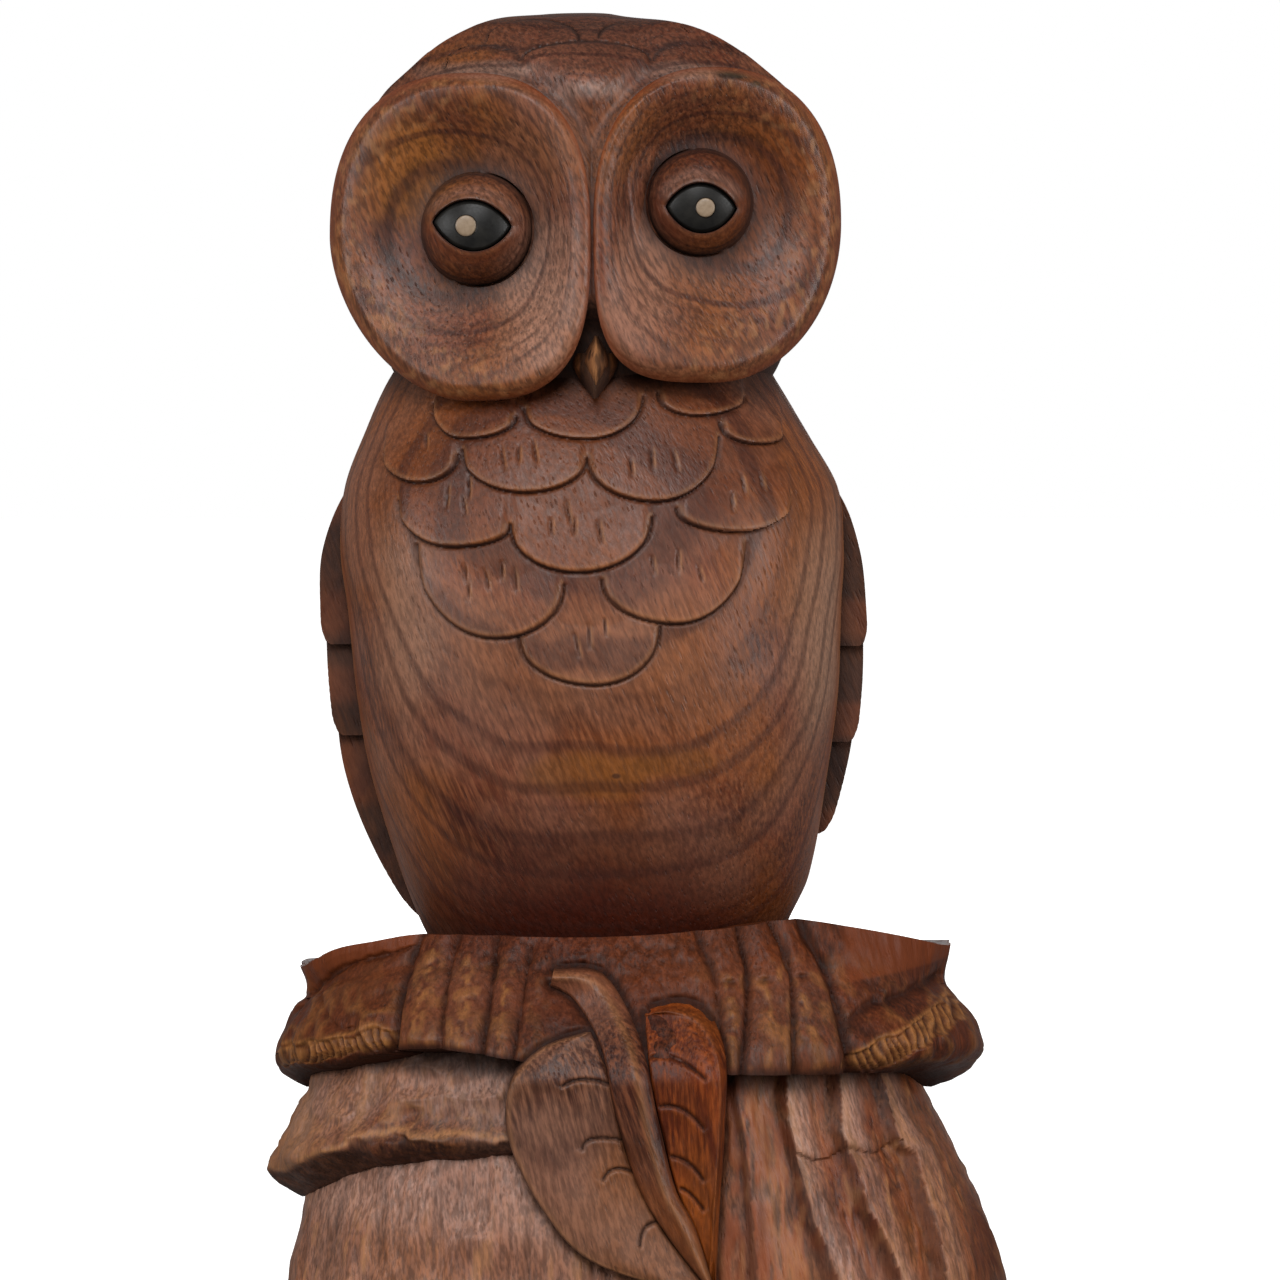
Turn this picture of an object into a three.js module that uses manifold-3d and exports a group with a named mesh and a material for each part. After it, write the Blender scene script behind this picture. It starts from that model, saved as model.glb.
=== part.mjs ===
// A carved wooden owl on a stump of bark with a leaf, all from one block of wood, with two
// black inlaid eyes and a pale pin in each. Millimetres, +Z up. The owl looks along -Y, and
// the origin is the middle of the flat underside of the stump.
import * as THREE from "three";
import { mergeVertices } from "three/addons/utils/BufferGeometryUtils.js";
import Module from "manifold-3d";

const wasm = await Module();
wasm.setup();

// Driving dimensions. A row of a section table is its height, the middle of the section in
// x, its reach to the left and the right of that middle, and its reach forward and back.
const TORSO_BEND = 2.5;
const TORSO_SECTIONS = [
  [138, -9, 47, 47, 41, 46],
  [150, -9.3, 51, 51, 46, 50],
  [160, -9.8, 55.5, 55.5, 52, 54],
  [175, -10.6, 60.5, 63, 59, 59],
  [205, -11.6, 68.4, 69.2, 67, 64],
  [230, -12, 72.4, 72.8, 70, 66],
  [255, -13, 74, 74.6, 70, 67],
  [272, -14.2, 74.8, 76.5, 68.5, 66],
  [290, -14.4, 73, 74.7, 65, 63],
  [305, -15.2, 66.7, 67.2, 59.5, 60],
  [322, -15.8, 58.4, 57.4, 50, 54],
  [330, -15.8, 52, 52, 44, 45],
  [336, -15.8, 42, 42, 34, 34],
];
const HEAD_BEND = 2.2;
const HEAD_SECTIONS = [
  [314, -15.8, 50, 50, 44, 48],
  [326, -15.7, 58, 58, 50, 56],
  [345, -15.6, 65, 65, 52, 63],
  [370, -15.4, 70, 70, 52, 66],
  [392, -15.2, 67.5, 68, 55, 64],
  [404, -14.8, 61, 61.5, 55.5, 60],
  [413, -14.5, 51.8, 51.5, 51, 53],
  [420, -14.2, 43.8, 41.6, 43, 45],
  [425, -14, 34.7, 30.6, 35, 38],
  [428.4, -14, 25.4, 15.8, 27, 30],
  [430, -14, 15, 8, 16, 19],
];

// The face: two shallow discs side by side, each with a raised eye mound. A disc's reach is
// given from its middle; "bend" is how square each quarter of its outline is.
const FACE = { middle: -12.9, front: -64.5, sideSweep: 25, halfWidth: 76, lean: 0.086, foot: 317 };
const BOWL_DEPTH = 11;
// The rims roll back at their edge: little between the discs, more with the distance from there.
const RIM_ROLL = { between: 1.7, outside: 4.5, height: 372, stretch: 1.9, near: 11, far: 30 };
// The wood between the two discs, a little behind their edges.
const VALLEY = { low: 342, high: 398, halfWidth: 2.6, sunk: 0.3, back: -46 };
const LEFT_DISC = {
  x: -49.6, z: 364.2,
  reach: { left: 40.2, right: 36.4, up: 47, down: 47.4 },
  bend: { upLeft: 2.35, downLeft: 1.78, downRight: 3, upRight: 2.5 },
};
const RIGHT_DISC = {
  x: 22.4, z: 368.1,
  reach: { left: 34.9, right: 37.2, up: 44.8, down: 46 },
  bend: { upLeft: 2.3, downLeft: 3.6, downRight: 2, upRight: 2.3 },
};
const LEFT_EYE = {
  x: -46.1, z: 366.2, radius: 16.3, rise: 12.5,
  corners: [-58.7, 368.2, -36.2, 366.9], up: 6.8, down: 7.6,
  pin: { x: -49.1, z: 367.1, radius: 3 },
};
const RIGHT_EYE = {
  x: 18.1, z: 374, radius: 15.4, rise: 12,
  corners: [8.5, 372.6, 28.6, 372.1], up: 6.8, down: 7.2,
  pin: { x: 19.7, z: 372.3, radius: 2.75 },
};
const INLAY_SUNK = 0.7;
const INLAY_THICK = 7;
const PIN_LONG = 4.5;
const PIN_SIDES = 12;
const ALMOND_BEND = 0.8;
const FIT_GAP = 0.3;
const SAME_PLACE = 1e-3;

// The beak and the lip under it: heights with half width and reach forward.
const BEAK = { x: -11.7, rows: [[335.5, 0.6, 57.5], [327.6, 3.9, 64], [321.6, 0.6, 65.5]], back: 44 };
const BEAK_LIP = { x: -12.1, rows: [[330.5, 7, 55], [325.5, 6, 60], [317.6, 0.8, 61]], back: 44 };

// Breast feathers, lower rows first: left end, tip and right end, each as x and z.
const FEATHERS = {
  M: [-34.1, 249.5, -12, 235.8, 6.9, 252.5],
  K: [-63.9, 275.2, -40.7, 249, -20.9, 264.3],
  L: [-10, 265.7, 11.5, 253.3, 31.6, 276],
  I: [-69.5, 287.6, -53.5, 275, -36.5, 280.7],
  J: [-36.4, 281.5, -17.2, 268, 4.6, 283.5],
  H: [11.5, 285.9, 29.1, 279.3, 45.2, 289.3],
  E: [-74, 301.1, -63.5, 293.1, -51.7, 301.1],
  F: [-50.7, 302.4, -32.3, 290.7, -14.3, 300.4],
  G: [-14.3, 300.4, 5.5, 288.1, 24.1, 306.1],
  D: [24.4, 310, 35.9, 304, 42.5, 306],
  A: [-59.5, 315.6, -50.4, 305.8, -34.9, 312.1],
  B: [-32.6, 314.1, -14.6, 305.8, 2, 317.9],
  C: [6.1, 318.7, 17.2, 312.4, 31.8, 317.9],
};
const FEATHER_PROUD = 1.5;
const FEATHER_LENGTH = 17;

// Short knife nicks on the breast feathers, as x and z of their middles.
const NICKS = [
  [-61.2, 305.1], [-38.6, 300.5], [-34, 301.6], [-29.4, 302.5], [-1.7, 297.9], [4.3, 300.5],
  [10.9, 299.9], [27.2, 287.9], [30.7, 292.7], [36.1, 293.6], [-54.9, 289.6], [-49.8, 287],
  [-48.6, 292.2], [-24.6, 281], [-19.7, 285], [-18, 281], [-10.6, 279.6], [-49.5, 267.5],
  [-48.4, 262.6], [-43.2, 265.8], [-38.9, 268.4], [-34.9, 265.8], [4.6, 270.1], [11.8, 271],
  [18.1, 267.5], [-13.7, 250], [-9.1, 252.6], [-17.2, 247.4],
];
const NICK = { long: 7, wide: 1.1, deep: 1.4 };

// Crown feathers, whose tips point back over the head: left end, tip and right end as x and z.
const CROWN_FEATHERS = [
  [-56, 413, -45.5, 419.5, -34, 414.6],
  [-33.6, 414.6, -13.6, 420.4, 4.1, 414.6],
  [5.2, 414.6, 17.7, 420.7, 31.9, 414],
  [-44, 420.5, -30, 427.3, -16.8, 421],
  [-11, 421.6, 2, 427.3, 15.5, 420.5],
];
const CROWN_PROUD = 1.2;
const CROWN_LENGTH = 6;

// Folded wings, in three rows of feathers that overlap downwards. For each side a row has
// its lower edge and how far it stands out from the body at its top, middle and lower edge.
const WING_ROWS = [
  { top: 222, start: 88, scallop: 5, left: [160, 6.6, 7.2, 1], right: [186, 5.6, 5.2, 2.6] },
  { top: 252, start: 86, scallop: 4, left: [216, 6.4, 7.6, 8.3], right: [214, 6.2, 6.6, 7] },
  { top: 290, start: 84, scallop: 3, left: [243.5, -1, 6, 8.2], right: [243, -1, 5.4, 7.8] },
];
const WING_END = 168;
const WING_BACK_SHARE = 0.6;
const WING_SCALLOPS = 5;
const TAIL = { top: 200, low: 143, halfAngle: 34, proud: 13, edgeProud: 1.5, crest: 1.2, feathers: 5 };

// The stump: each band is a ring of bark. A row is its share of the band's height, then its
// reach to the left, right, front and back.
const STUMP_BEND = 2.3;
const UPPER_BAND = [
  [1, 102.4, 95.3, 57, 72],
  [0.74, 100.2, 93.6, 64, 74],
  [0.64, 104, 95.4, 67, 77],
  [0.46, 107, 101.6, 72, 80],
  [0.22, 109.5, 105, 79, 80],
  [0.09, 108, 100.3, 82, 78],
  [0, 101.7, 91, 83.5, 73],
];
// The rim's height in front by the share of the side reach, and its height behind.
const RIM_HEIGHTS = [
  [-1, 146], [-0.88, 154.5], [-0.76, 158.2], [-0.63, 161], [-0.1, 161.5],
  [0.3, 164], [0.48, 166], [0.66, 163.2], [0.85, 158.5], [1, 153],
];
const RIM_BEHIND = 142;
// The ledge's first row lies past its upper edge, hidden behind the band above.
const LEDGE_BAND = [
  [1.22, 95, 80, 74, 76],
  [1, 96, 80, 76, 76],
  [0.69, 100.8, 82, 78, 78],
  [0.36, 108.6, 84, 80.5, 82],
  [0.2, 113, 85, 82, 84],
  [0.09, 109, 85, 81, 82],
  [0, 102, 83, 77, 78],
];
const LOWER_BARK = [
  [1, 84, 80, 70, 72],
  [0.86, 90.5, 88.2, 75, 77],
  [0.7, 98, 98.8, 79, 81],
  [0.52, 103.9, 108.7, 82, 84.5],
  [0.36, 107, 113, 84.5, 87.5],
  [0.15, 108.5, 113, 86, 90],
  [0, 106.5, 111, 85, 89],
];
const LOWER_BARK_TOP = 125;
// Where the upright creases and gouge ridges stand, as shares of the reach to that side.
const FLUTE_CREASES = [
  -1, -0.93, -0.85, -0.76, -0.655, -0.525, -0.426, -0.33,
  0.235, 0.35, 0.47, 0.62, 0.74, 0.84, 0.93, 1,
];
const GOUGE_RIDGES = [-1, -0.93, -0.83, -0.7, -0.56, -0.43, -0.3, 0.31, 0.45, 0.6, 0.755, 0.89, 1];
const BACK_CREASES = 5;
// How deep they are: a crease is shallower between narrow flutes and at the band's top.
const CREASE_DEEP = 2.4;
const CREASE_PER_RADIAN = 14;
const CREASE_AT_TOP = 0.4;
const GOUGE_DEEP = 1.8;
const LEDGE_GOUGE_DEEP = 1.1;
const LEDGE_SUNK = 14;

// The leaf: outlines of its two blades and its stem, as x and z from the top down.
const LEAF_LEFT = {
  outer: [[-15, 136.5], [-28, 132], [-36.4, 121.9], [-36.6, 106], [-27, 86.8], [-12, 71.8], [20.9, 61.5]],
  inner: [[-13, 136.5], [-10.5, 131], [-7.4, 122.7], [-4, 106], [0.5, 94], [8, 80], [21.4, 63]],
};
const LEAF_RIGHT = {
  outer: [[4.5, 143], [12.3, 144.5], [20.5, 141.5], [25.3, 131], [25.4, 112], [23.9, 90], [22.6, 64]],
  inner: [[2, 141], [2.6, 135], [4.3, 122], [7.7, 107], [11.5, 92], [17, 80], [21.9, 64]],
};
const LEAF_STEM = {
  outer: [[-25, 148.5], [-17.9, 144.5], [-10.2, 132.5], [-6, 114], [0.4, 93.5], [9, 79], [20.5, 64]],
  inner: [[-24, 153], [-9.6, 151.5], [1.2, 134], [6, 113], [11, 93], [16.5, 82], [22.3, 63.5]],
};
const VEINS = [
  [-21.3, 122.4, -15.6, 124.2, -8, 122.8], [-15.6, 104.3, -12.5, 107.2, -4, 106.6],
  [-9.6, 95.7, -6, 98.6, 0, 97], [0.9, 77, 2.4, 82, 6.5, 83.3],
  [4, 130, 11, 129.8, 19.5, 124.4], [6.5, 116.4, 13, 115.6, 19, 110.2],
  [9.8, 102, 14.5, 100.3, 19, 95.4], [12.6, 92.8, 15.4, 91.2, 19, 87],
];
const VEIN = { wide: 1.5, deep: 1.6 };
const LEAF_TOP_REACH = 64;

const WOOD = new THREE.MeshStandardMaterial({ color: 0x6b432c, roughness: 0.5, metalness: 0 });
const BLACK_INLAY = new THREE.MeshStandardMaterial({ color: 0x121110, roughness: 0.22, metalness: 0 });
const PALE_PIN = new THREE.MeshStandardMaterial({ color: 0x8c7661, roughness: 0.45, metalness: 0 });

const radians = THREE.MathUtils.degToRad;
const { lerp, smoothstep } = THREE.MathUtils;

// A closed solid from points and triangles; points at one place become one vertex, triangles
// that collapse are dropped, and an inside-out shape is turned round.
function solid(points, triangles) {
  const geometry = new THREE.BufferGeometry().setFromPoints(points);
  geometry.setIndex(triangles);
  const merged = mergeVertices(geometry, SAME_PLACE);
  const index = merged.index.array;
  const kept = [];
  for (let i = 0; i < index.length; i += 3) {
    const [a, b, c] = [index[i], index[i + 1], index[i + 2]];
    if (a !== b && b !== c && c !== a) kept.push([a, b, c]);
  }
  const make = (faces) =>
    new wasm.Manifold(
      new wasm.Mesh({
        numProp: 3,
        vertProperties: merged.attributes.position.array,
        triVerts: new Uint32Array(faces.flat()),
      }),
    );
  const first = make(kept);
  return first.volume() > 0 ? first : make(kept.map(([a, b, c]) => [a, c, b]));
}

function union(solids) {
  return solids.reduce((whole, next) => whole.add(next));
}

// The solid without the slivers that a join leaves in it.
function withoutSlivers(made) {
  const { vertProperties, triVerts } = made.getMesh();
  const points = Array.from({ length: vertProperties.length / 3 }, (_, i) =>
    new THREE.Vector3().fromArray(vertProperties, 3 * i),
  );
  const bodies = solid(points, Array.from(triVerts)).decompose();
  return bodies.reduce((best, body) => (body.volume() > best.volume() ? body : best));
}

// A solid skinned over closed rings of equal length, with a fan over each end.
function skin(rings) {
  const count = rings[0].length;
  const points = rings.flat();
  const triangles = [];
  for (let row = 0; row + 1 < rings.length; row += 1) {
    for (let i = 0; i < count; i += 1) {
      const next = (i + 1) % count;
      const [a, b] = [row * count + i, row * count + next];
      triangles.push(a, b, a + count, b, b + count, a + count);
    }
  }
  for (const [row, turned] of [[0, true], [rings.length - 1, false]]) {
    const middle = points.length;
    points.push(rings[row].reduce((sum, p) => sum.add(p), new THREE.Vector3()).divideScalar(count));
    for (let i = 0; i < count; i += 1) {
      const [a, b] = [row * count + i, row * count + ((i + 1) % count)];
      triangles.push(...(turned ? [b, a, middle] : [a, b, middle]));
    }
  }
  return solid(points, triangles);
}

// A solid between two grids of points, each an array of rows of equal length.
function slab(top, bottom) {
  const rows = top.length;
  const columns = top[0].length;
  const points = [...top.flat(), ...bottom.flat()];
  const under = rows * columns;
  const triangles = [];
  const quad = (a, b, c, d) => triangles.push(a, b, c, a, c, d);
  for (let r = 0; r + 1 < rows; r += 1) {
    for (let c = 0; c + 1 < columns; c += 1) {
      const a = r * columns + c;
      quad(a, a + 1, a + columns + 1, a + columns);
      quad(under + a, under + a + columns, under + a + columns + 1, under + a + 1);
    }
    const [left, right] = [r * columns, r * columns + columns - 1];
    quad(left, left + columns, under + left + columns, under + left);
    quad(right + columns, right, under + right, under + right + columns);
  }
  for (let c = 0; c + 1 < columns; c += 1) {
    const last = (rows - 1) * columns + c;
    quad(c + 1, c, under + c, under + c + 1);
    quad(last, last + 1, under + last + 1, under + last);
  }
  return solid(points, triangles);
}

// The values of a table at a key, by a smooth curve through its rows.
function rowAt(table, key) {
  const rows = table[0][0] < table[table.length - 1][0] ? table : [...table].reverse();
  const last = rows.length - 2;
  const found = rows.findIndex((row, i) => i <= last && key <= rows[i + 1][0]);
  const i = found < 0 ? last : found;
  const [p, q] = [rows[i], rows[i + 1]];
  const before = rows[Math.max(i - 1, 0)];
  const after = rows[Math.min(i + 2, rows.length - 1)];
  const span = q[0] - p[0];
  const t = THREE.MathUtils.clamp((key - p[0]) / span, 0, 1);
  return p.map((_, k) => {
    const startSlope = ((q[k] - before[k]) / (q[0] - before[0])) * span;
    const endSlope = ((after[k] - p[k]) / (after[0] - p[0])) * span;
    return (
      p[k] * (2 * t ** 3 - 3 * t ** 2 + 1) + startSlope * (t ** 3 - 2 * t ** 2 + t) +
      q[k] * (3 * t ** 2 - 2 * t ** 3) + endSlope * (t ** 3 - t ** 2)
    );
  });
}

const roundPower = (value, bend) => Math.sign(value) * Math.abs(value) ** (2 / bend);

// A point of a rounded section: angle 0 is the front, 90 degrees the right side.
function sectionPoint([, middle, left, right, front, back], bend, angle, z, out = 0) {
  const across = Math.sin(angle) < 0 ? left : right;
  const deep = Math.cos(angle) > 0 ? front : back;
  return new THREE.Vector3(
    middle + (across + out) * roundPower(Math.sin(angle), bend),
    -(deep + out) * roundPower(Math.cos(angle), bend),
    z,
  );
}

const torsoPoint = (angle, z, out = 0) =>
  sectionPoint(rowAt(TORSO_SECTIONS, z), TORSO_BEND, angle, z, out);

// A point on the front of a sectioned body, found from x and z.
function frontPoint(table, bend, x, z, out) {
  const [, middle, reach, , front] = rowAt(table, z);
  const share = Math.min(Math.abs(x - middle) / reach, 0.995);
  const y = -front * (1 - share ** bend) ** (1 / bend);
  return new THREE.Vector3(x, y - out, z);
}

const breastPoint = (x, z, out = 0) => frontPoint(TORSO_SECTIONS, TORSO_BEND, x, z, out);
const crownPoint = (x, z, out = 0) => frontPoint(HEAD_SECTIONS, HEAD_BEND, x, z, out);

// A body of sections from the lowest row of its table to the highest.
function sectionBody(table, bend, columns, heights) {
  return skin(
    heights.map((z) =>
      Array.from({ length: columns }, (_, i) =>
        sectionPoint(rowAt(table, z), bend, (i / columns) * 2 * Math.PI, z),
      ),
    ),
  );
}

const evenly = (from, to, count) =>
  Array.from({ length: count + 1 }, (_, i) => lerp(from, to, i / count));

// Depth of the plane that the rims of the face discs lie in.
function rimDepth(x, z) {
  const aside = (x - FACE.middle) / FACE.halfWidth;
  return FACE.front + FACE.sideSweep * aside ** 2 + FACE.lean * (z - FACE.foot);
}

// A point of a face disc's outline.
function discEdge(disc, angle) {
  const [c, s] = [Math.cos(angle), Math.sin(angle)];
  const side = c < 0 ? "Left" : "Right";
  const bend = disc.bend[(s < 0 ? "down" : "up") + side];
  return [
    disc.x + disc.reach[side.toLowerCase()] * roundPower(c, bend),
    disc.z + disc.reach[s < 0 ? "down" : "up"] * roundPower(s, bend),
  ];
}

const floorDepth = (eye) => rimDepth(eye.x, eye.z) + BOWL_DEPTH;

// Depth of the eye mound's dome.
function moundDepth(eye, x, z) {
  const off = Math.min(Math.hypot(x - eye.x, z - eye.z) / eye.radius, 1);
  return floorDepth(eye) + 1 - (eye.rise + 1) * Math.sqrt(1 - off ** 2);
}

// How far the rolled edge of a disc lies behind its rim.
function edgeDepth(x, z) {
  const { between, outside, height, stretch, near, far } = RIM_ROLL;
  const off = Math.hypot(x - FACE.middle, (z - height) / stretch);
  return lerp(between, outside, smoothstep(off, near, far));
}

// How far back the bowl of a disc lies behind its rim, from the mound (0) to the edge (1).
function bowlDepth(share, x, z) {
  const hollow = BOWL_DEPTH * (1 - smoothstep(share, 0, 0.88));
  return hollow + edgeDepth(x, z) * Math.max((share - 0.84) / 0.16, 0) ** 2;
}

// A ring of a face disc, at a share of the way from the mound (0) to the disc's edge (1),
// or inside the mound for a share under 0.
function discRing(disc, eye, share, depth) {
  const columns = 26;
  return Array.from({ length: columns }, (_, i) => {
    const angle = (i / columns) * 2 * Math.PI;
    const [edgeX, edgeZ] = discEdge(disc, angle);
    const inner = eye.radius * (1 + Math.min(share, 0));
    const x = lerp(eye.x + inner * Math.cos(angle), edgeX, Math.max(share, 0));
    const z = lerp(eye.z + inner * Math.sin(angle), edgeZ, Math.max(share, 0));
    return new THREE.Vector3(x, depth(x, z), z);
  });
}

// A face disc with its eye mound, as rings from the mound's top over the rim to its back.
function faceDisc(disc, eye) {
  const mound = [-0.5, -0.15, 0].map((share) =>
    discRing(disc, eye, share, (x, z) => moundDepth(eye, x, z)),
  );
  const bowlRing = (share, setBack = 0) =>
    discRing(disc, eye, share, (x, z) => rimDepth(x, z) + bowlDepth(share, x, z) + setBack);
  const bowl = [0.25, 0.55, 0.82, 0.93, 1].map((share) => bowlRing(share));
  return skin([...mound, ...bowl, bowlRing(0.97, 9), bowlRing(0.6, 22)]);
}

// What is cut out of the head in front of a face disc.
function discHollow(disc, eye) {
  const behind = 2;
  const wall = [0, 0.5, 0.96].map((share) =>
    discRing(disc, eye, share, (x, z) => rimDepth(x, z) + bowlDepth(share, x, z) + behind),
  );
  return skin([...wall, discRing(disc, eye, 0.96, () => FACE.front * 1.5)]);
}

// The wood between the discs, up to where they part.
function valley() {
  const { low, high, halfWidth, sunk, back } = VALLEY;
  const across = evenly(FACE.middle - halfWidth, FACE.middle + halfWidth, 2);
  const grid = (depth) =>
    evenly(low, high, 3).map((z) => across.map((x) => new THREE.Vector3(x, depth(x, z), z)));
  return slab(grid((x, z) => rimDepth(x, z) + edgeDepth(x, z) + sunk), grid(() => back));
}

// The almond of an eye: the upper and lower edge at a share of its width, from -1 to 1.
function almondEdges(eye, share, gap) {
  const [leftX, leftZ, rightX, rightZ] = eye.corners;
  const along = (share + 1) / 2;
  const x = lerp(leftX - gap, rightX + gap, along);
  const middle = lerp(leftZ, rightZ, along);
  const arch = (1 - share ** 2) ** ALMOND_BEND;
  return [x, middle - (eye.down + gap) * arch, middle + (eye.up + gap) * arch];
}

// The black inlay, or with a gap the socket that it sits in.
function almond(eye, gap) {
  const front = gap > 0 ? -4 : INLAY_SUNK;
  const deep = rimDepth(eye.x, eye.z) - 1.5 + INLAY_THICK + gap;
  const grid = (depth) =>
    evenly(-1, 1, 8).map((share) => {
      const [x, low, high] = almondEdges(eye, share, gap);
      return evenly(low, high, 2).map((z) => new THREE.Vector3(x, depth(x, z), z));
    });
  return slab(grid((x, z) => moundDepth(eye, x, z) + front), grid(() => deep));
}

// A solid from one of the library's closed geometries.
function fromGeometry(geometry) {
  geometry.deleteAttribute("normal");
  geometry.deleteAttribute("uv");
  const merged = mergeVertices(geometry);
  const place = merged.attributes.position;
  const points = Array.from({ length: place.count }, (_, i) =>
    new THREE.Vector3().fromBufferAttribute(place, i),
  );
  return solid(points, Array.from(merged.index.array));
}

// The pin of an eye, or with a gap the hole that it sits in. Its axis lies along y.
function pin(eye, gap) {
  const { x, z, radius } = eye.pin;
  const face = moundDepth(eye, x, z) + INLAY_SUNK - 0.2;
  const length = PIN_LONG + gap * 5;
  const middle = face + PIN_LONG / 2 - gap * 1.5;
  return fromGeometry(
    new THREE.CylinderGeometry(radius + gap, radius + gap, length, PIN_SIDES).translate(x, middle, z),
  );
}

// A small wedge with a middle ridge in front, from rows of height, half width and reach.
function bill({ x, rows, back }) {
  const ring = ([z, half, front]) => [
    new THREE.Vector3(x - half, -back - (front - back) * 0.45, z),
    new THREE.Vector3(x, -front, z),
    new THREE.Vector3(x + half, -back - (front - back) * 0.45, z),
    new THREE.Vector3(x, -back, z),
  ];
  return skin([...rows].reverse().map(ring));
}

// One feather laid on a surface: its free edge is a U from the left end by the tip to the
// right end, and its root runs back under the feathers before it.
function feather({ place, outline, root, proud, steps }) {
  const [leftU, leftV, tipU, tipV, rightU, rightV] = outline;
  const edge = evenly(-1, 1, steps).map((share) => {
    const turn = (Math.abs(share) * Math.PI) / 2;
    const [endU, endV] = share < 0 ? [leftU, leftV] : [rightU, rightV];
    return [tipU + (endU - tipU) * Math.sin(turn), tipV + (endV - tipV) * (1 - Math.cos(turn))];
  });
  const rows = [0, 1];
  const grid = (height) =>
    rows.map((back) =>
      edge.map(([u, v], i) => {
        const rootU = lerp(leftU, rightU, i / steps);
        const rootV = lerp(leftV, rightV, i / steps) + root;
        return place(lerp(u, rootU, back), lerp(v, rootV, back), height(back));
      }),
    );
  return slab(grid((back) => lerp(proud, -0.6, back)), grid(() => -4));
}

// A knife nick: a slim double wedge that stands upright in the surface.
function nick([x, z]) {
  const { long, wide, deep } = NICK;
  const lip = FEATHER_PROUD + 1;
  const bed = FEATHER_PROUD * 0.6 - deep;
  const [top, foot] = [breastPoint(x, z + long / 2, lip), breastPoint(x, z - long / 2, lip)];
  const [left, right] = [breastPoint(x - wide, z, lip), breastPoint(x + wide, z, lip)];
  const bottom = breastPoint(x, z, bed);
  const points = [top, left, foot, right, bottom];
  return solid(points, [0, 1, 2, 0, 2, 3, 1, 0, 4, 2, 1, 4, 3, 2, 4, 0, 3, 4]);
}

function crownFeather(outline) {
  return feather({ place: crownPoint, outline, root: -CROWN_LENGTH, proud: CROWN_PROUD, steps: 4 });
}

// One row of a folded wing: a shell on the body whose lower edge is a line of scallops.
function wingRow({ top, start, scallop, left, right }, side) {
  const perScallop = 2;
  const columns = evenly(radians(start), radians(WING_END), WING_SCALLOPS * perScallop);
  const [low, atTop, atMiddle, atLow] = side < 0 ? left : right;
  const shares = [0, 0.5, 1];
  const grid = (height) =>
    shares.map((up, row) =>
      columns.map((angle, i) => {
        const wave = Math.sin((Math.PI * (i % perScallop)) / perScallop);
        const bottom = low + scallop * (1 - wave) * Math.min(i, 1);
        return torsoPoint(side * angle, lerp(bottom, top, up), height(row, i / (columns.length - 1)));
      }),
    );
  const proud = [atLow, atMiddle, atTop];
  return slab(grid((row, back) => proud[row] * lerp(1, WING_BACK_SHARE, back)), grid(() => -5));
}

// The short tail behind, spread flat on the stump.
function tail() {
  const { top, low, halfAngle, proud, edgeProud, crest, feathers } = TAIL;
  const asides = evenly(-1, 1, feathers * 2);
  const grid = (height) =>
    evenly(0, 1, 4).map((up) =>
      asides.map((aside, i) => {
        const angle = Math.PI + radians(halfAngle) * aside * lerp(1, 0.6, up);
        return torsoPoint(angle, lerp(low, top, up), height(up, aside, i % 2));
      }),
    );
  const fan = (up, aside, ridge) =>
    lerp(proud, edgeProud, aside ** 2) * (1 - up) ** 1.5 + crest * (ridge - 0.5);
  return slab(grid(fan), grid(() => -6));
}

// Angles of the upright marks on a band of bark, each given as a share of the reach, with
// evenly spaced ones round the back.
function markAngles(marks) {
  const front = marks.map((share) => Math.sign(share) * Math.asin(Math.abs(share) ** (STUMP_BEND / 2)));
  const back = evenly(front[front.length - 1], front[0] + 2 * Math.PI, BACK_CREASES + 1);
  return [...front, ...back.slice(1, -1)];
}

// Columns round the stump: each mark, with points between it and the next one.
function barkColumns(marks, between) {
  const angles = markAngles(marks);
  return angles.flatMap((angle, i) => {
    const next = i + 1 < angles.length ? angles[i + 1] : angles[0] + 2 * Math.PI;
    return evenly(angle, next, between + 1)
      .slice(0, -1)
      .map((at, k) => ({ angle: at, mark: k === 0, span: next - angle }));
  });
}

// One band of the stump, from rows of its height share to its upper and lower edges.
function barkBand({ table, columns, lowEdge, highEdge, relief }) {
  const stationRows = [...table].reverse();
  return skin(
    stationRows.map(([share, left, right, front, back]) =>
      columns.map((column) => {
        const z = lerp(lowEdge(column.angle), highEdge(column.angle), share);
        const out = relief(column, share);
        return sectionPoint([z, 0, left, right, front, back], STUMP_BEND, column.angle, z, out);
      }),
    ),
  );
}

const frontShare = (angle) => Math.max(Math.cos(angle), 0);
const rightSide = (angle) =>
  smoothstep(angle, radians(5), radians(25)) * (1 - smoothstep(angle, radians(150), radians(180)));
const bump = (angle, middle, width) => Math.exp(-(((angle - radians(middle)) / radians(width)) ** 2));

// The rim of the stump: high in front, lower behind.
function rimHeight(angle) {
  const inFront = rowAt(RIM_HEIGHTS, roundPower(Math.sin(angle), STUMP_BEND))[1];
  return lerp(inFront, RIM_BEHIND, smoothstep(-Math.cos(angle), 0, 0.5));
}

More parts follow.
